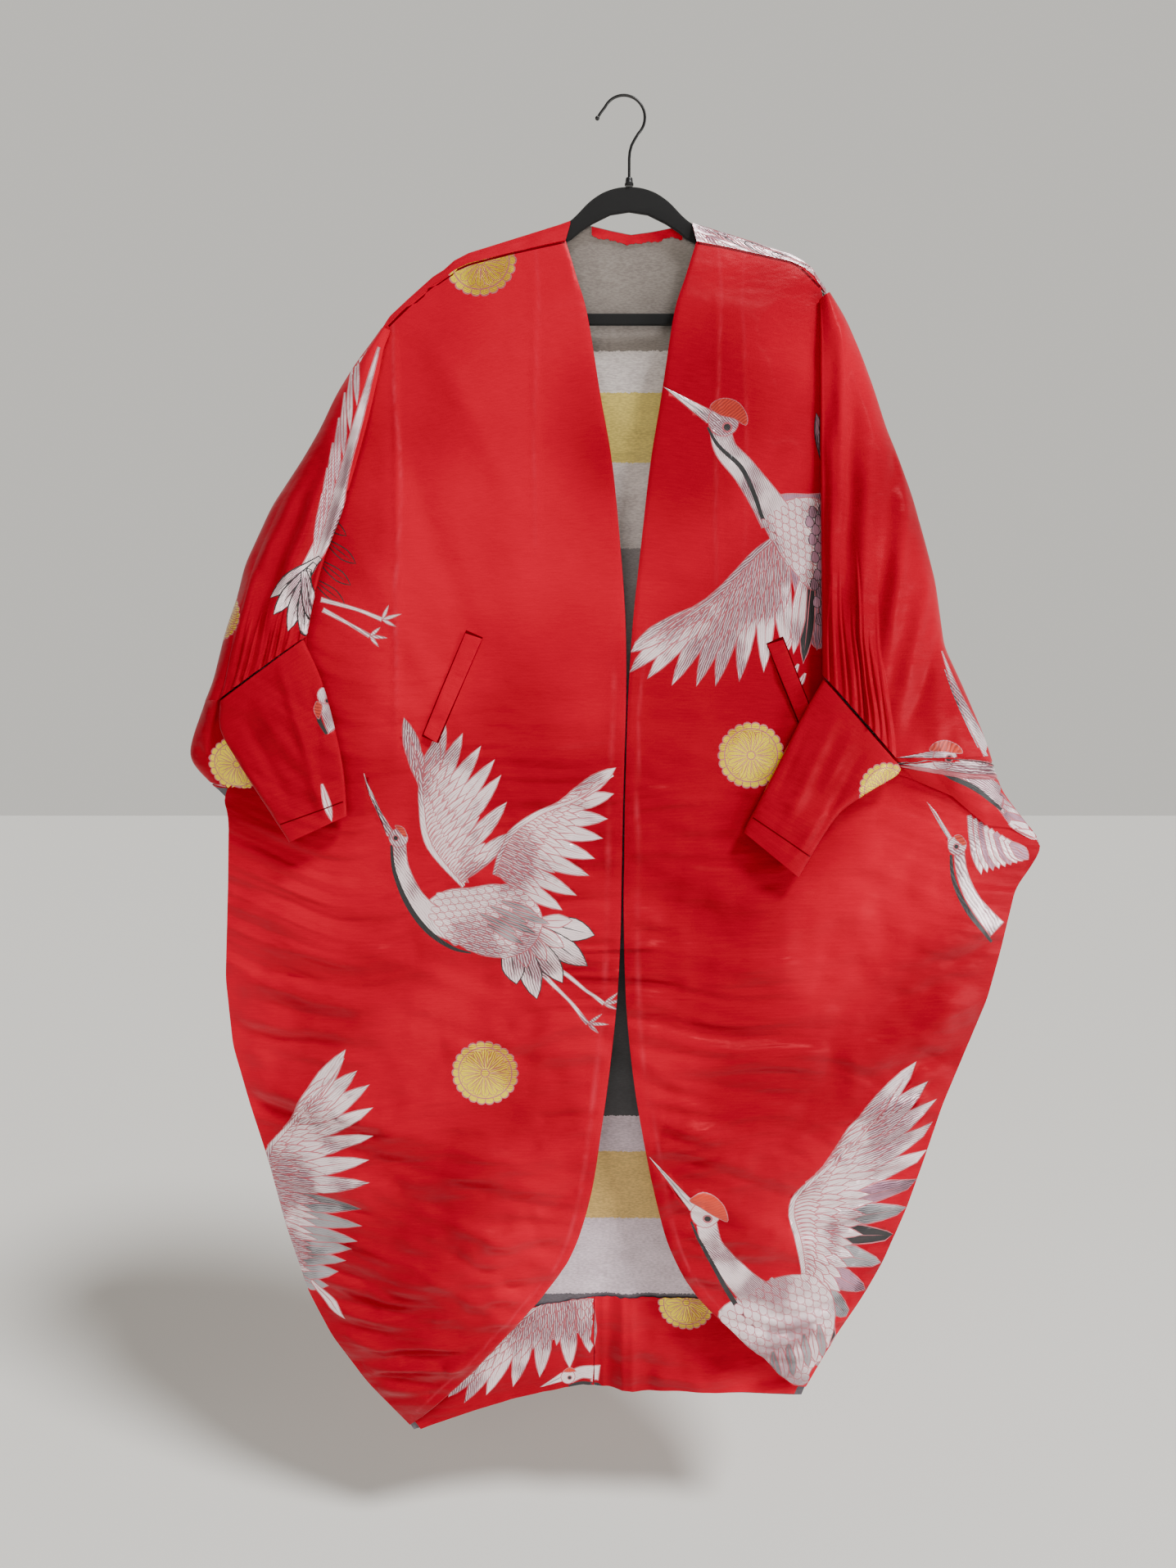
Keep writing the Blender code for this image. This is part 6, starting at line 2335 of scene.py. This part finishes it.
class Design:
    """The woven pictures on each piece, drawn from how the coat's cranes lie."""

    def left_front(self) -> list[Mark]:
        """The flying crane, a wing cut by the side seam, two roundels and a pair of legs.

        Returns:
            The marks, the lowest first.
        """
        loom = Loom()
        loom.roundel((-153, -171), 39)
        loom.roundel((-154, -1059), 38)
        self._trailing_legs(loom)
        self._cut_wing(loom)
        self._flying_crane(loom)
        # Painted shadow under the shoulder strip's edge, and a wider one under the pocket's welt
        # that shows at its edges.
        loom.seam(((-63, -152), (-100, -159.6), (-139, -168.2), (-177, -179.4), (-216, -205.2),
                   (-253, -237.6)), 2.4)
        loom.seam(((-161.5, -567.5), (-187, -626), (-211.5, -683)), 20)
        return loom.marks

    def _trailing_legs(self, loom: Loom) -> None:
        """Feather tips and two legs that come out from under the sleeve.

        Args:
            loom: What the shapes are drawn on.
        """
        for tip in ((-300, -462), (-290, -492), (-296, -515), (-303, -535)):
            loom.plume((tip[0] - 34, tip[1] + 26), tip, 13, Weave.GROUND, Weave.BLACK)
        loom.leg(((-330, -530), (-290, -541), (-262, -552)),
                 ((-240, -546), (-246, -560), (-254, -536)))
        loom.leg(((-328, -541), (-300, -556), (-276, -570)),
                 ((-256, -572), (-266, -582), (-264, -560)))

    def _cut_wing(self, loom: Loom) -> None:
        """A wing that the side seam cuts.

        Args:
            loom: What the shapes are drawn on.
        """
        tips = ((-312, -1034), (-299, -1058), (-285, -1074), (-281, -1100), (-281, -1133),
                (-288, -1165), (-287, -1190), (-297, -1222), (-297, -1243), (-303, -1262),
                (-311, -1274), (-318, -1288), (-329, -1306), (-340, -1322))
        lead = ((-314, -1044), (-333, -1075), (-362, -1106), (-392, -1140), (-425, -1180),
                (-440, -1230), (-430, -1290), (-410, -1330))
        weaves = [Weave.GREY] * 7
        loom.wing(lead, tips, 22, weaves)
        loom.plume((-362, -1318), (-322, -1364), 12)

    def _flying_crane(self, loom: Loom) -> None:
        """The whole crane: legs and tail behind, far wing, body, near wing, neck and head.

        Args:
            loom: What the shapes are drawn on.
        """
        loom.leg(((-92, -944), (-62, -972), (-38, -1001)),
                 ((-14, -1003), (-26, -1013), (-22, -990)))
        loom.leg(((-74, -938), (-44, -960), (-20, -979)), ((6, -974), (-4, -986), (-4, -966)))
        tail = ((-30, -900), (-38, -936), (-66, -956), (-95, -974), (-118, -958))
        roots = ((-96, -884), (-100, -890), (-106, -896), (-114, -900), (-126, -904))
        for root, tip in zip(roots, tail):
            loom.plume(root, tip, 27, Weave.SILVER, Weave.BLACK)
        for root, tip in zip(roots, ((-55, -884), (-64, -914), (-84, -930), (-106, -938))):
            loom.plume(root, tip, 17, Weave.SILVER, Weave.ROSE)
        far = ((-7, -713), (-9, -742), (-16, -770), (-21, -792), (-30, -814), (-36, -834),
               (-50, -856), (-66, -872))
        loom.wing(((-10, -722), (-50, -748), (-92, -764), (-126, -790), (-142, -832)), far, 19)
        body = ((-218, -866), (-196, -850), (-168, -846), (-136, -842), (-104, -856), (-88, -880),
                (-96, -908), (-120, -924), (-152, -924), (-184, -910), (-206, -892))
        outline = closed(body, 44)
        loom.shape(outline, Weave.SILVER, 2.9, Weave.ROSE)
        loom.neck(((-247, -794), (-245, -824), (-232, -857), (-211, -882), (-188, -888)),
                  (15, 17, 22, 30, 40), ((-256, -800), (-253, -830), (-239, -866), (-218, -895),
                                         (-190, -914), (-168, -920)), (2.5, 4.5, 6, 6, 4.5, 1.5))
        loom.scales(outline, 10, -0.35)
        for k, root in enumerate(((-158, -876), (-146, -868), (-134, -862), (-150, -888),
                                  (-136, -880), (-122, -872))):
            loom.plume(root, (root[0] + 42, root[1] - 22 + 3 * (k % 3)), 10, Weave.GREY)
        near = ((-240, -658), (-202, -680), (-194, -661), (-175, -675), (-155, -689),
                (-140, -704), (-133, -721), (-127, -751), (-127, -786))
        loom.wing(((-236, -672), (-223, -716), (-222, -752), (-214, -800), (-176, -846)), near, 19)
        loom.head((-248, -792), 11, ((-286, -719), (-256, -780), (-261, -790)),
                  ((-252, -778), (-242, -780), (-238, -790), (-243, -790)), (-251, -792))

    def right_front(self) -> list[Mark]:
        """The large crane under the shoulder, the one at the hem and a roundel.

        Returns:
            The marks, the lowest first.
        """
        loom = Loom()
        loom.roundel((141, -700), 37)
        self._large_crane(loom)
        self._hem_crane(loom)
        # Painted shadow under the shoulder strip's edge, and a wider one under the pocket's welt
        # that shows at its edges.
        loom.seam(((79, -153.4), (105, -157.4), (132, -162.6), (158, -168), (185, -175),
                   (211, -197.6)), 2.4)
        loom.seam(((165, -574), (189, -631), (211.5, -685)), 20)
        return loom.marks

    def _large_crane(self, loom: Loom) -> None:
        """A crane whose far wing and tail go under the sleeve.

        Args:
            loom: What the shapes are drawn on.
        """
        for root, tip in (((222, -400), (208, -330)), ((226, -440), (214, -318))):
            loom.plume(root, tip, 14, Weave.MAUVE, Weave.BLACK)
        body = ((146, -432), (168, -418), (200, -417), (236, -420), (240, -480), (236, -560),
                (214, -584), (196, -560), (180, -500), (158, -460))
        loom.shape(closed(body, 40), Weave.MAUVE, -1.3, Weave.ROSE)
        for k, (root, tip) in enumerate((((214, -500), (212, -586)), ((206, -500), (197, -600)),
                                         ((222, -480), (226, -590)), ((198, -490), (186, -590)))):
            loom.plume(root, tip, 17, (Weave.MAUVE, Weave.BLACK, Weave.MAUVE, Weave.SILVER)[k])
        tips = ((6, -588), (5, -610), (26, -617), (53, -624), (80, -625), (101, -625),
                (127, -620), (154, -610), (178, -592))
        lead = ((14, -582), (52, -560), (92, -533), (122, -503), (146, -478), (176, -456))
        loom.wing(lead, tips, 21)
        shoulder = closed(((150, -440), (176, -424), (214, -424), (226, -470), (210, -520),
                           (184, -500), (160, -468)), 36)
        loom.shape(shoulder, Weave.SILVER, -0.9, Weave.ROSE)
        loom.neck(((104, -352), (110, -372), (130, -394), (150, -420), (166, -444)),
                  (24, 25, 28, 33, 40), ((90, -348), (102, -368), (126, -390), (141, -418),
                                         (152, -446), (170, -466)), (2, 4, 5, 5, 4, 1.5))
        loom.scales(shoulder, 10, -1.0, Weave.SILVER)
        dark = closed(((196, -430), (230, -430), (236, -520), (212, -560), (206, -490)), 30)
        loom.scales(dark, 12, -1.4, Weave.MAUVE, Weave.BLACK)
        loom.head((107, -341), 17, ((42, -305), (92, -329), (89, -344)),
                  ((92, -328), (98, -320), (110, -317), (124, -322), (133, -336), (131, -346),
                   (118, -339), (104, -336)), (111, -348))
        for x, z in ((176, -588), (184, -616), (192, -626)):
            loom.plume((x + 8, z + 16), (x, z), 7)

    def _hem_crane(self, loom: Loom) -> None:
        """A crane that the hem's edge and the side seam cut.

        Args:
            loom: What the shapes are drawn on.
        """
        tips = ((338, -1052), (353, -1076), (364, -1098), (368, -1128), (362, -1162), (352, -1198),
                (340, -1232), (326, -1266), (310, -1300), (292, -1334), (272, -1368), (254, -1400),
                (240, -1430))
        lead = ((330, -1060), (300, -1106), (268, -1142), (232, -1174), (204, -1200), (195, -1226),
                (204, -1262), (212, -1310), (206, -1370))
        dark = (Weave.GREY, Weave.BLACK, Weave.GREY, Weave.MAUVE)
        loom.wing(lead, tips, 27, [dark[k % 4] for k in range(8)])
        body = closed(((150, -1322), (178, -1306), (214, -1304), (246, -1330), (252, -1372),
                       (238, -1424), (214, -1450), (180, -1424), (140, -1384), (112, -1348)), 44)
        loom.shape(body, Weave.SILVER, -0.8, Weave.ROSE)
        loom.neck(((98, -1238), (104, -1262), (122, -1288), (142, -1312), (164, -1334)),
                  (24, 25, 28, 34, 44), ((80, -1236), (92, -1262), (112, -1300), (128, -1330),
                                         (146, -1358), (164, -1378)), (2, 4, 5, 6, 4.5, 1.5))
        loom.scales(body, 12, -0.9)
        for k in range(7):
            root = (232 - 9 * k, -1370 - 5 * k)
            loom.plume(root, (root[0] + 8, root[1] - 46), 13,
                       (Weave.GREY, Weave.SILVER)[k % 2])
        loom.head((96, -1226), 17, ((31, -1157), (84, -1210), (78, -1222)),
                  ((77, -1208), (90, -1199), (106, -1203), (118, -1216), (122, -1234), (108, -1229),
                   (92, -1219)), (99, -1232))

    def left_sleeve(self) -> tuple[list[Mark], list[Mark]]:
        """The strip of a wing and a tail on the upper sleeve; a roundel on its slack.

        Returns:
            The marks of the upper sleeve and those of its slack.
        """
        loom = Loom()
        wing = ribbon(((-262, -262), (-281, -330), (-302, -400), (-316, -452), (-352, -520)),
                      (3, 9, 13, 19, 12))
        loom.shape(wing, Weave.SILVER, 1.2, Weave.ROSE)
        for k in range(7):
            z = -300 - 27 * k
            loom.plume((-287 - 6 * k, z + 44), (-285 - 8 * k, z - 26), 8)
        for root, tip in (((-326, -486), (-380, -530)), ((-332, -492), (-376, -548)),
                          ((-338, -498), (-362, -566)), ((-340, -500), (-346, -574)),
                          ((-344, -500), (-334, -560))):
            loom.plume(root, tip, 17, Weave.SILVER, Weave.BLACK)
        loom.roundel((-440, -548), 27)
        under = Loom()
        under.roundel((-428, -711), 31)
        return loom.marks, under.marks

    def right_sleeve(self) -> tuple[list[Mark], list[Mark]]:
        """Feather tips at the outline above; a crane's head and feathers on the slack below.

        Returns:
            The marks of the upper sleeve and those of its slack.
        """
        loom, under = Loom(), Loom()
        band = ((350, -586), (364, -624), (385, -664), (410, -704))
        loom.shape(ribbon(band, (2, 8, 13, 17)), Weave.SILVER, -1.1, Weave.ROSE)
        loom.shape(ribbon(((352, -606), (368, -646), (392, -692)), (1, 2.4, 1)), Weave.GREY, -1.1)
        self._cut_head(loom)
        for k in range(8):
            under.plume((392 + 7 * k, -716 - 10 * k), (420 + 8 * k, -752 - 7 * k), 17,
                        (Weave.SILVER, Weave.MAUVE)[k % 3 == 2])
        under.neck(((352, -700), (372, -716), (396, -728), (430, -752)), (15, 16, 19, 22),
                   ((342, -712), (362, -724), (392, -738), (424, -762)), (3, 5, 6, 3))
        self._cut_head(under)
        return loom.marks, under.marks

    def _cut_head(self, loom: Loom) -> None:
        """The head that the gathered seam cuts across.

        Args:
            loom: What the shapes are drawn on.
        """
        loom.head((352, -702), 14, ((297, -702), (340, -693), (341, -708)),
                  ((334, -694), (340, -685), (354, -683), (368, -689), (372, -698), (352, -696)),
                  (357, -703))

    def right_front_side(self) -> list[Mark]:
        """The neck and wing piece beside the right side seam.

        Returns:
            The marks, the lowest first.
        """
        loom = Loom()
        for k in range(9):
            loom.plume((388 + 6 * k, -768 - 4 * k), (404 + 7 * k, -836 + 2 * k), 16,
                       (Weave.SILVER, Weave.SILVER, Weave.MAUVE)[k % 3])
        loom.neck(((376, -806), (382, -836), (398, -868), (426, -900)), (13, 14, 17, 24),
                  ((367, -812), (372, -842), (390, -878), (420, -914)), (3, 5, 6, 3))
        loom.head((374, -802), 11, ((338, -752), (368, -792), (363, -801)),
                  ((370, -792), (378, -790), (385, -799), (380, -802)), (373, -803))
        return loom.marks

    def cuffs(self) -> dict[Side, list[Mark]]:
        """A fragment of a head on the left cuff, and half a roundel on the right one.

        Returns:
            Each cuff's marks.
        """
        left, right = Loom(), Loom()
        left.neck(((-322, -634), (-318, -652), (-310, -672)), (17, 20, 24),
                  ((-332, -640), (-330, -660), (-322, -676)), (3, 5, 3))
        left.head((-322, -634), 10, ((-318, -600), (-326, -622), (-316, -622)),
                  ((-332, -640), (-336, -650), (-330, -660), (-326, -646)), (-321, -640))
        left.plume((-328, -730), (-318, -772), 9)
        # Painted shadow at the step of the cuff's turned hem.
        left.seam(((-375, -775), (-340, -762.5), (-306, -750)), 1.4)
        right.roundel((286, -736), 30)
        # Painted shadow at the step of the cuff's turned hem.
        right.seam(((142, -767), (174, -788.5), (205, -810)), 1.4)
        return {Side.LEFT: left.marks, Side.RIGHT: right.marks}

    def right_yoke(self) -> list[Mark]:
        """Feathers along the right shoulder's strip.

        Returns:
            The marks, the lowest first.
        """
        loom = Loom()
        for k in range(15):
            x, z = 78 + 9.6 * k, -133 - 3.9 * k
            fill = (Weave.SILVER, Weave.MAUVE, Weave.SILVER, Weave.GREY)[k % 4]
            loom.plume((x, z - 9), (x + 46, z - 36), 11, fill, Weave.ROSE)
            loom.plume((x + 4, z + 2), (x + 50, z - 19), 12, Weave.SILVER,
                       (Weave.ROSE, Weave.ROSE, Weave.BLACK)[k % 3])
        return loom.marks

    def hem_facing(self) -> list[Mark]:
        """A wing and a head on the facing's left length, half a roundel on its right one.

        Returns:
            The marks, the lowest first.
        """
        loom = Loom()
        tips = ((-205, -1470), (-186, -1478), (-160, -1470), (-128, -1462), (-96, -1450),
                (-60, -1440), (-36, -1420))
        lead = ((-196, -1458), (-160, -1420), (-120, -1380), (-84, -1352), (-30, -1352))
        loom.wing(lead, tips, 21)
        loom.neck(((-60, -1452), (-44, -1444), (-24, -1446)), (14, 16, 20),
                  ((-62, -1462), (-44, -1458), (-26, -1460)), (3, 5, 3))
        loom.head((-62, -1450), 9, ((-96, -1462), (-70, -1444), (-70, -1456)),
                  ((-68, -1444), (-60, -1438), (-52, -1444)), (-60, -1451))
        loom.roundel((79, -1356), 34)
        return loom.marks

    def back(self) -> list[Mark]:
        """The same cranes and roundels in other places, for the side that isn't known.

        Returns:
            The marks, the lowest first.
        """
        flying = Loom()
        self._flying_crane(flying)
        marks = moved(flying.marks, -150, 210, 0.1, True)
        marks += moved(flying.marks, -96, -150, -0.06)
        rounds = Loom()
        for centre in ((-30, -330), (230, -960), (-270, -640), (90, -1330)):
            rounds.roundel(centre, 38)
        return marks + rounds.marks


# The room and the whole.


@dataclass
class Studio:
    """Soft daylight from the upper right, a window beside it, a floor and the viewer's place."""

    floor_z: float = -1.66
    floor_size: float = 14.0
    sun_energy: float = 3.4
    sun_angle: float = 0.22
    sensor: float = 36.0
    behind: str = "E9E6DF"
    before: str = "52504D"
    strength: float = 0.86
    eye: tuple[float, float, float] = (-0.038, -1.317, -0.603)
    pitch: float = 5.7
    lens: float = 27.0

    def build(self) -> None:
        """Makes the floor, the lights and the camera."""
        bpy.ops.mesh.primitive_plane_add(size=self.floor_size, location=(0, 0, self.floor_z))
        floor = bpy.context.object
        floor.name = "floor"
        floor.data.materials.append(Solid("Painted board, matt", "E6E4DF", 0.8).make())
        self.sky()
        self.light("window", (2.2, -1.35, -0.9), (0.0, 0, -0.85), 1.0, 30, "FFFFFF")
        self.light("room", (-0.5, -2.4, -0.2), (0, 0, -0.7), 1.4, 16, "FFF6EC")
        high = bpy.data.lights.new("high", "SUN")
        high.energy, high.angle = self.sun_energy, self.sun_angle
        self.hung(high, (0, 0, 0), (-0.5, 0.5, -0.95))
        camera = bpy.data.cameras.new("camera")
        camera.lens = self.lens
        camera.sensor_fit = "VERTICAL"
        camera.sensor_height = self.sensor
        seen = linked(bpy.data.objects.new("camera", camera))
        seen.location = self.eye
        seen.rotation_euler = (math.radians(90 - self.pitch), 0, 0)
        bpy.context.scene.camera = seen

    def sky(self) -> None:
        """A pale room: lighter behind the coat than before it, so that the folds stay deep."""
        world = bpy.data.worlds.new("daylight")
        bpy.context.scene.world = world
        world.use_nodes = True
        tree, shader = world.node_tree, world.node_tree.nodes["Background"]
        way = add(tree, "TexCoord", out="Generated")
        ahead = add(tree, "SeparateXYZ", (way,), 1)
        share = add(tree, "MapRange", (ahead, -0.35, 0.45), **EASED)
        colour = add(tree, "Mix", {0: share, 6: self.before, 7: self.behind}, **MIXED)
        feed(tree, shader, {"Color": colour, "Strength": self.strength})

    def light(self, name: str, place: tuple, aim: tuple, size: float, power: float,
              colour: str) -> None:
        """Adds a square soft light.

        Args:
            name: The light's name.
            place: Where it hangs, in metres.
            aim: What it points at.
            size: Its side's length.
            power: Its power, in watts.
            colour: Its sRGB hex colour.
        """
        data = bpy.data.lights.new(name, "AREA")
        data.shape = "SQUARE"
        data.size, data.energy = size, power
        data.color = linear(colour)[:3]
        self.hung(data, place, Vector(aim) - Vector(place))

    def hung(self, data: bpy.types.Light, place: Sequence[float], way: Sequence[float]) -> None:
        """Puts a light in its place, shining the given way.

        Args:
            data: The light.
            place: Its place, in metres.
            way: The direction that it shines in.
        """
        lamp = linked(bpy.data.objects.new(data.name, data))
        lamp.location = place
        lamp.rotation_euler = Vector(way).to_track_quat("-Z", "Y").to_euler()


def finishes() -> list[bpy.types.Material]:
    """The coat's finishes, in the order of Weave.

    Returns:
        One material for each Weave.
    """
    return [
        # Long floats side by side: a soft, broad sheen that turns with the folds.
        Satin("Silk satin, woven and piece-dyed red").make(),
        # Loose floats of every colour used: broken pale and dark dashes in bands.
        Reverse("Silk brocade reverse, loose weft floats").make(),
        # Flat foil: pale to a dull rose grey, between its threads and in patches of painted
        # highlight and shade.
        Floats("Silver weft, flat foil thread floated", "FFEAEE", "7A4656", 0.45).make(),
        # Silk floats: softer than foil, and darker between the threads.
        Floats("Mauve weft, silk floated over silver", "B8849A", "3E2430", 0.2).make(),
        Floats("Rose weft, silk outline floated", "C8707A", "9E404C", 0.1, 0.4).make(),
        Floats("Black weft, silk floated", "18161A", "050506", 0.0, 0.45).make(),
        Floats("Coral weft, silk floated", "DC3418", "94180A", 0.1, 0.4, 0.003).make(),
        Floats("Gold weft, flat foil thread floated", "FFE31C", "A86C04", 0.3, 0.34).make(),
        Floats("Grey weft, silk floated over silver", "A8A4A8", "3C3A40", 0.25, 0.38).make(),
        # Painted shadow along seams, under the welts and at the cuffs' hems: the same satin,
        # darker.
        Satin("Silk satin, painted seam shadow", "4A0008", "66000F", "8A1020").make(),
    ]


class Cut(NamedTuple):
    """A piece's flat cut in metres, and its area where it isn't a rectangle."""

    width: float
    length: float
    area: float
    held: Held
    rests_on: tuple[str, ...]


def main() -> None:
    """Builds the coat, the hanger and the room in order."""
    logging.basicConfig(level=logging.INFO, format="%(message)s")
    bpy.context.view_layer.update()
    form, design, cloth = CoatForm(), Design(), finishes()
    Back(form, cloth, design.back()).build()
    Yoke(form, cloth, Side.LEFT).build()
    Yoke(form, cloth, Side.RIGHT, design.right_yoke()).build()
    Front(form, cloth, Side.LEFT, design.left_front()).build()
    Front(form, cloth, Side.RIGHT, design.right_front() + design.right_front_side()).build()
    for side, marks in zip(Side, (design.left_sleeve(), design.right_sleeve())):
        Sleeve(form, cloth, side, *marks).build()
    for side, marks in design.cuffs().items():
        Cuff(form, cloth, side, marks).build()
    trims = Trims(form, cloth, design.hem_facing())
    trims.welt(Side.LEFT, ((-171, -567), (-153, -573)), ((-218, -677), (-204, -686)))
    trims.welt(Side.RIGHT, ((157, -579), (174, -574)), ((204, -688), (218, -679)))
    trims.neck()
    for side in Side:
        trims.hem(side)
    # Flock drinks the light: near black, with a faint bloom where its nap is seen edge-on.
    velvet = Solid("Velvet flock on a moulded core", "060607", 0.95, 0.08, 0.0, 0.0002, 2600.0)
    # A thin hard coat over the wire: one narrow highlight along it.
    wire = Solid("Steel wire, black powder coated", "0E0E10", 0.38, 0.0, 0.15)
    # Smooth moulded plastic: a soft grey highlight.
    plastic = Solid("Polypropylene, black, moulded", "111113", 0.42)
    Hanger(form, velvet.make(), wire.make(), plastic.make()).build()
    Studio().build()


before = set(bpy.data.objects)
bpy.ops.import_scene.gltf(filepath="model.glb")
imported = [obj for obj in bpy.data.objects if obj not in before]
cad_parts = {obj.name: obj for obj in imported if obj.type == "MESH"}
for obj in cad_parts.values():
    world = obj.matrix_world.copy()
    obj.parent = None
    obj.data.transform(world)
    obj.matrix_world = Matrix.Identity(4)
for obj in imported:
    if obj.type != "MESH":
        bpy.data.objects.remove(obj)

if __name__ == "__main__":
    main()
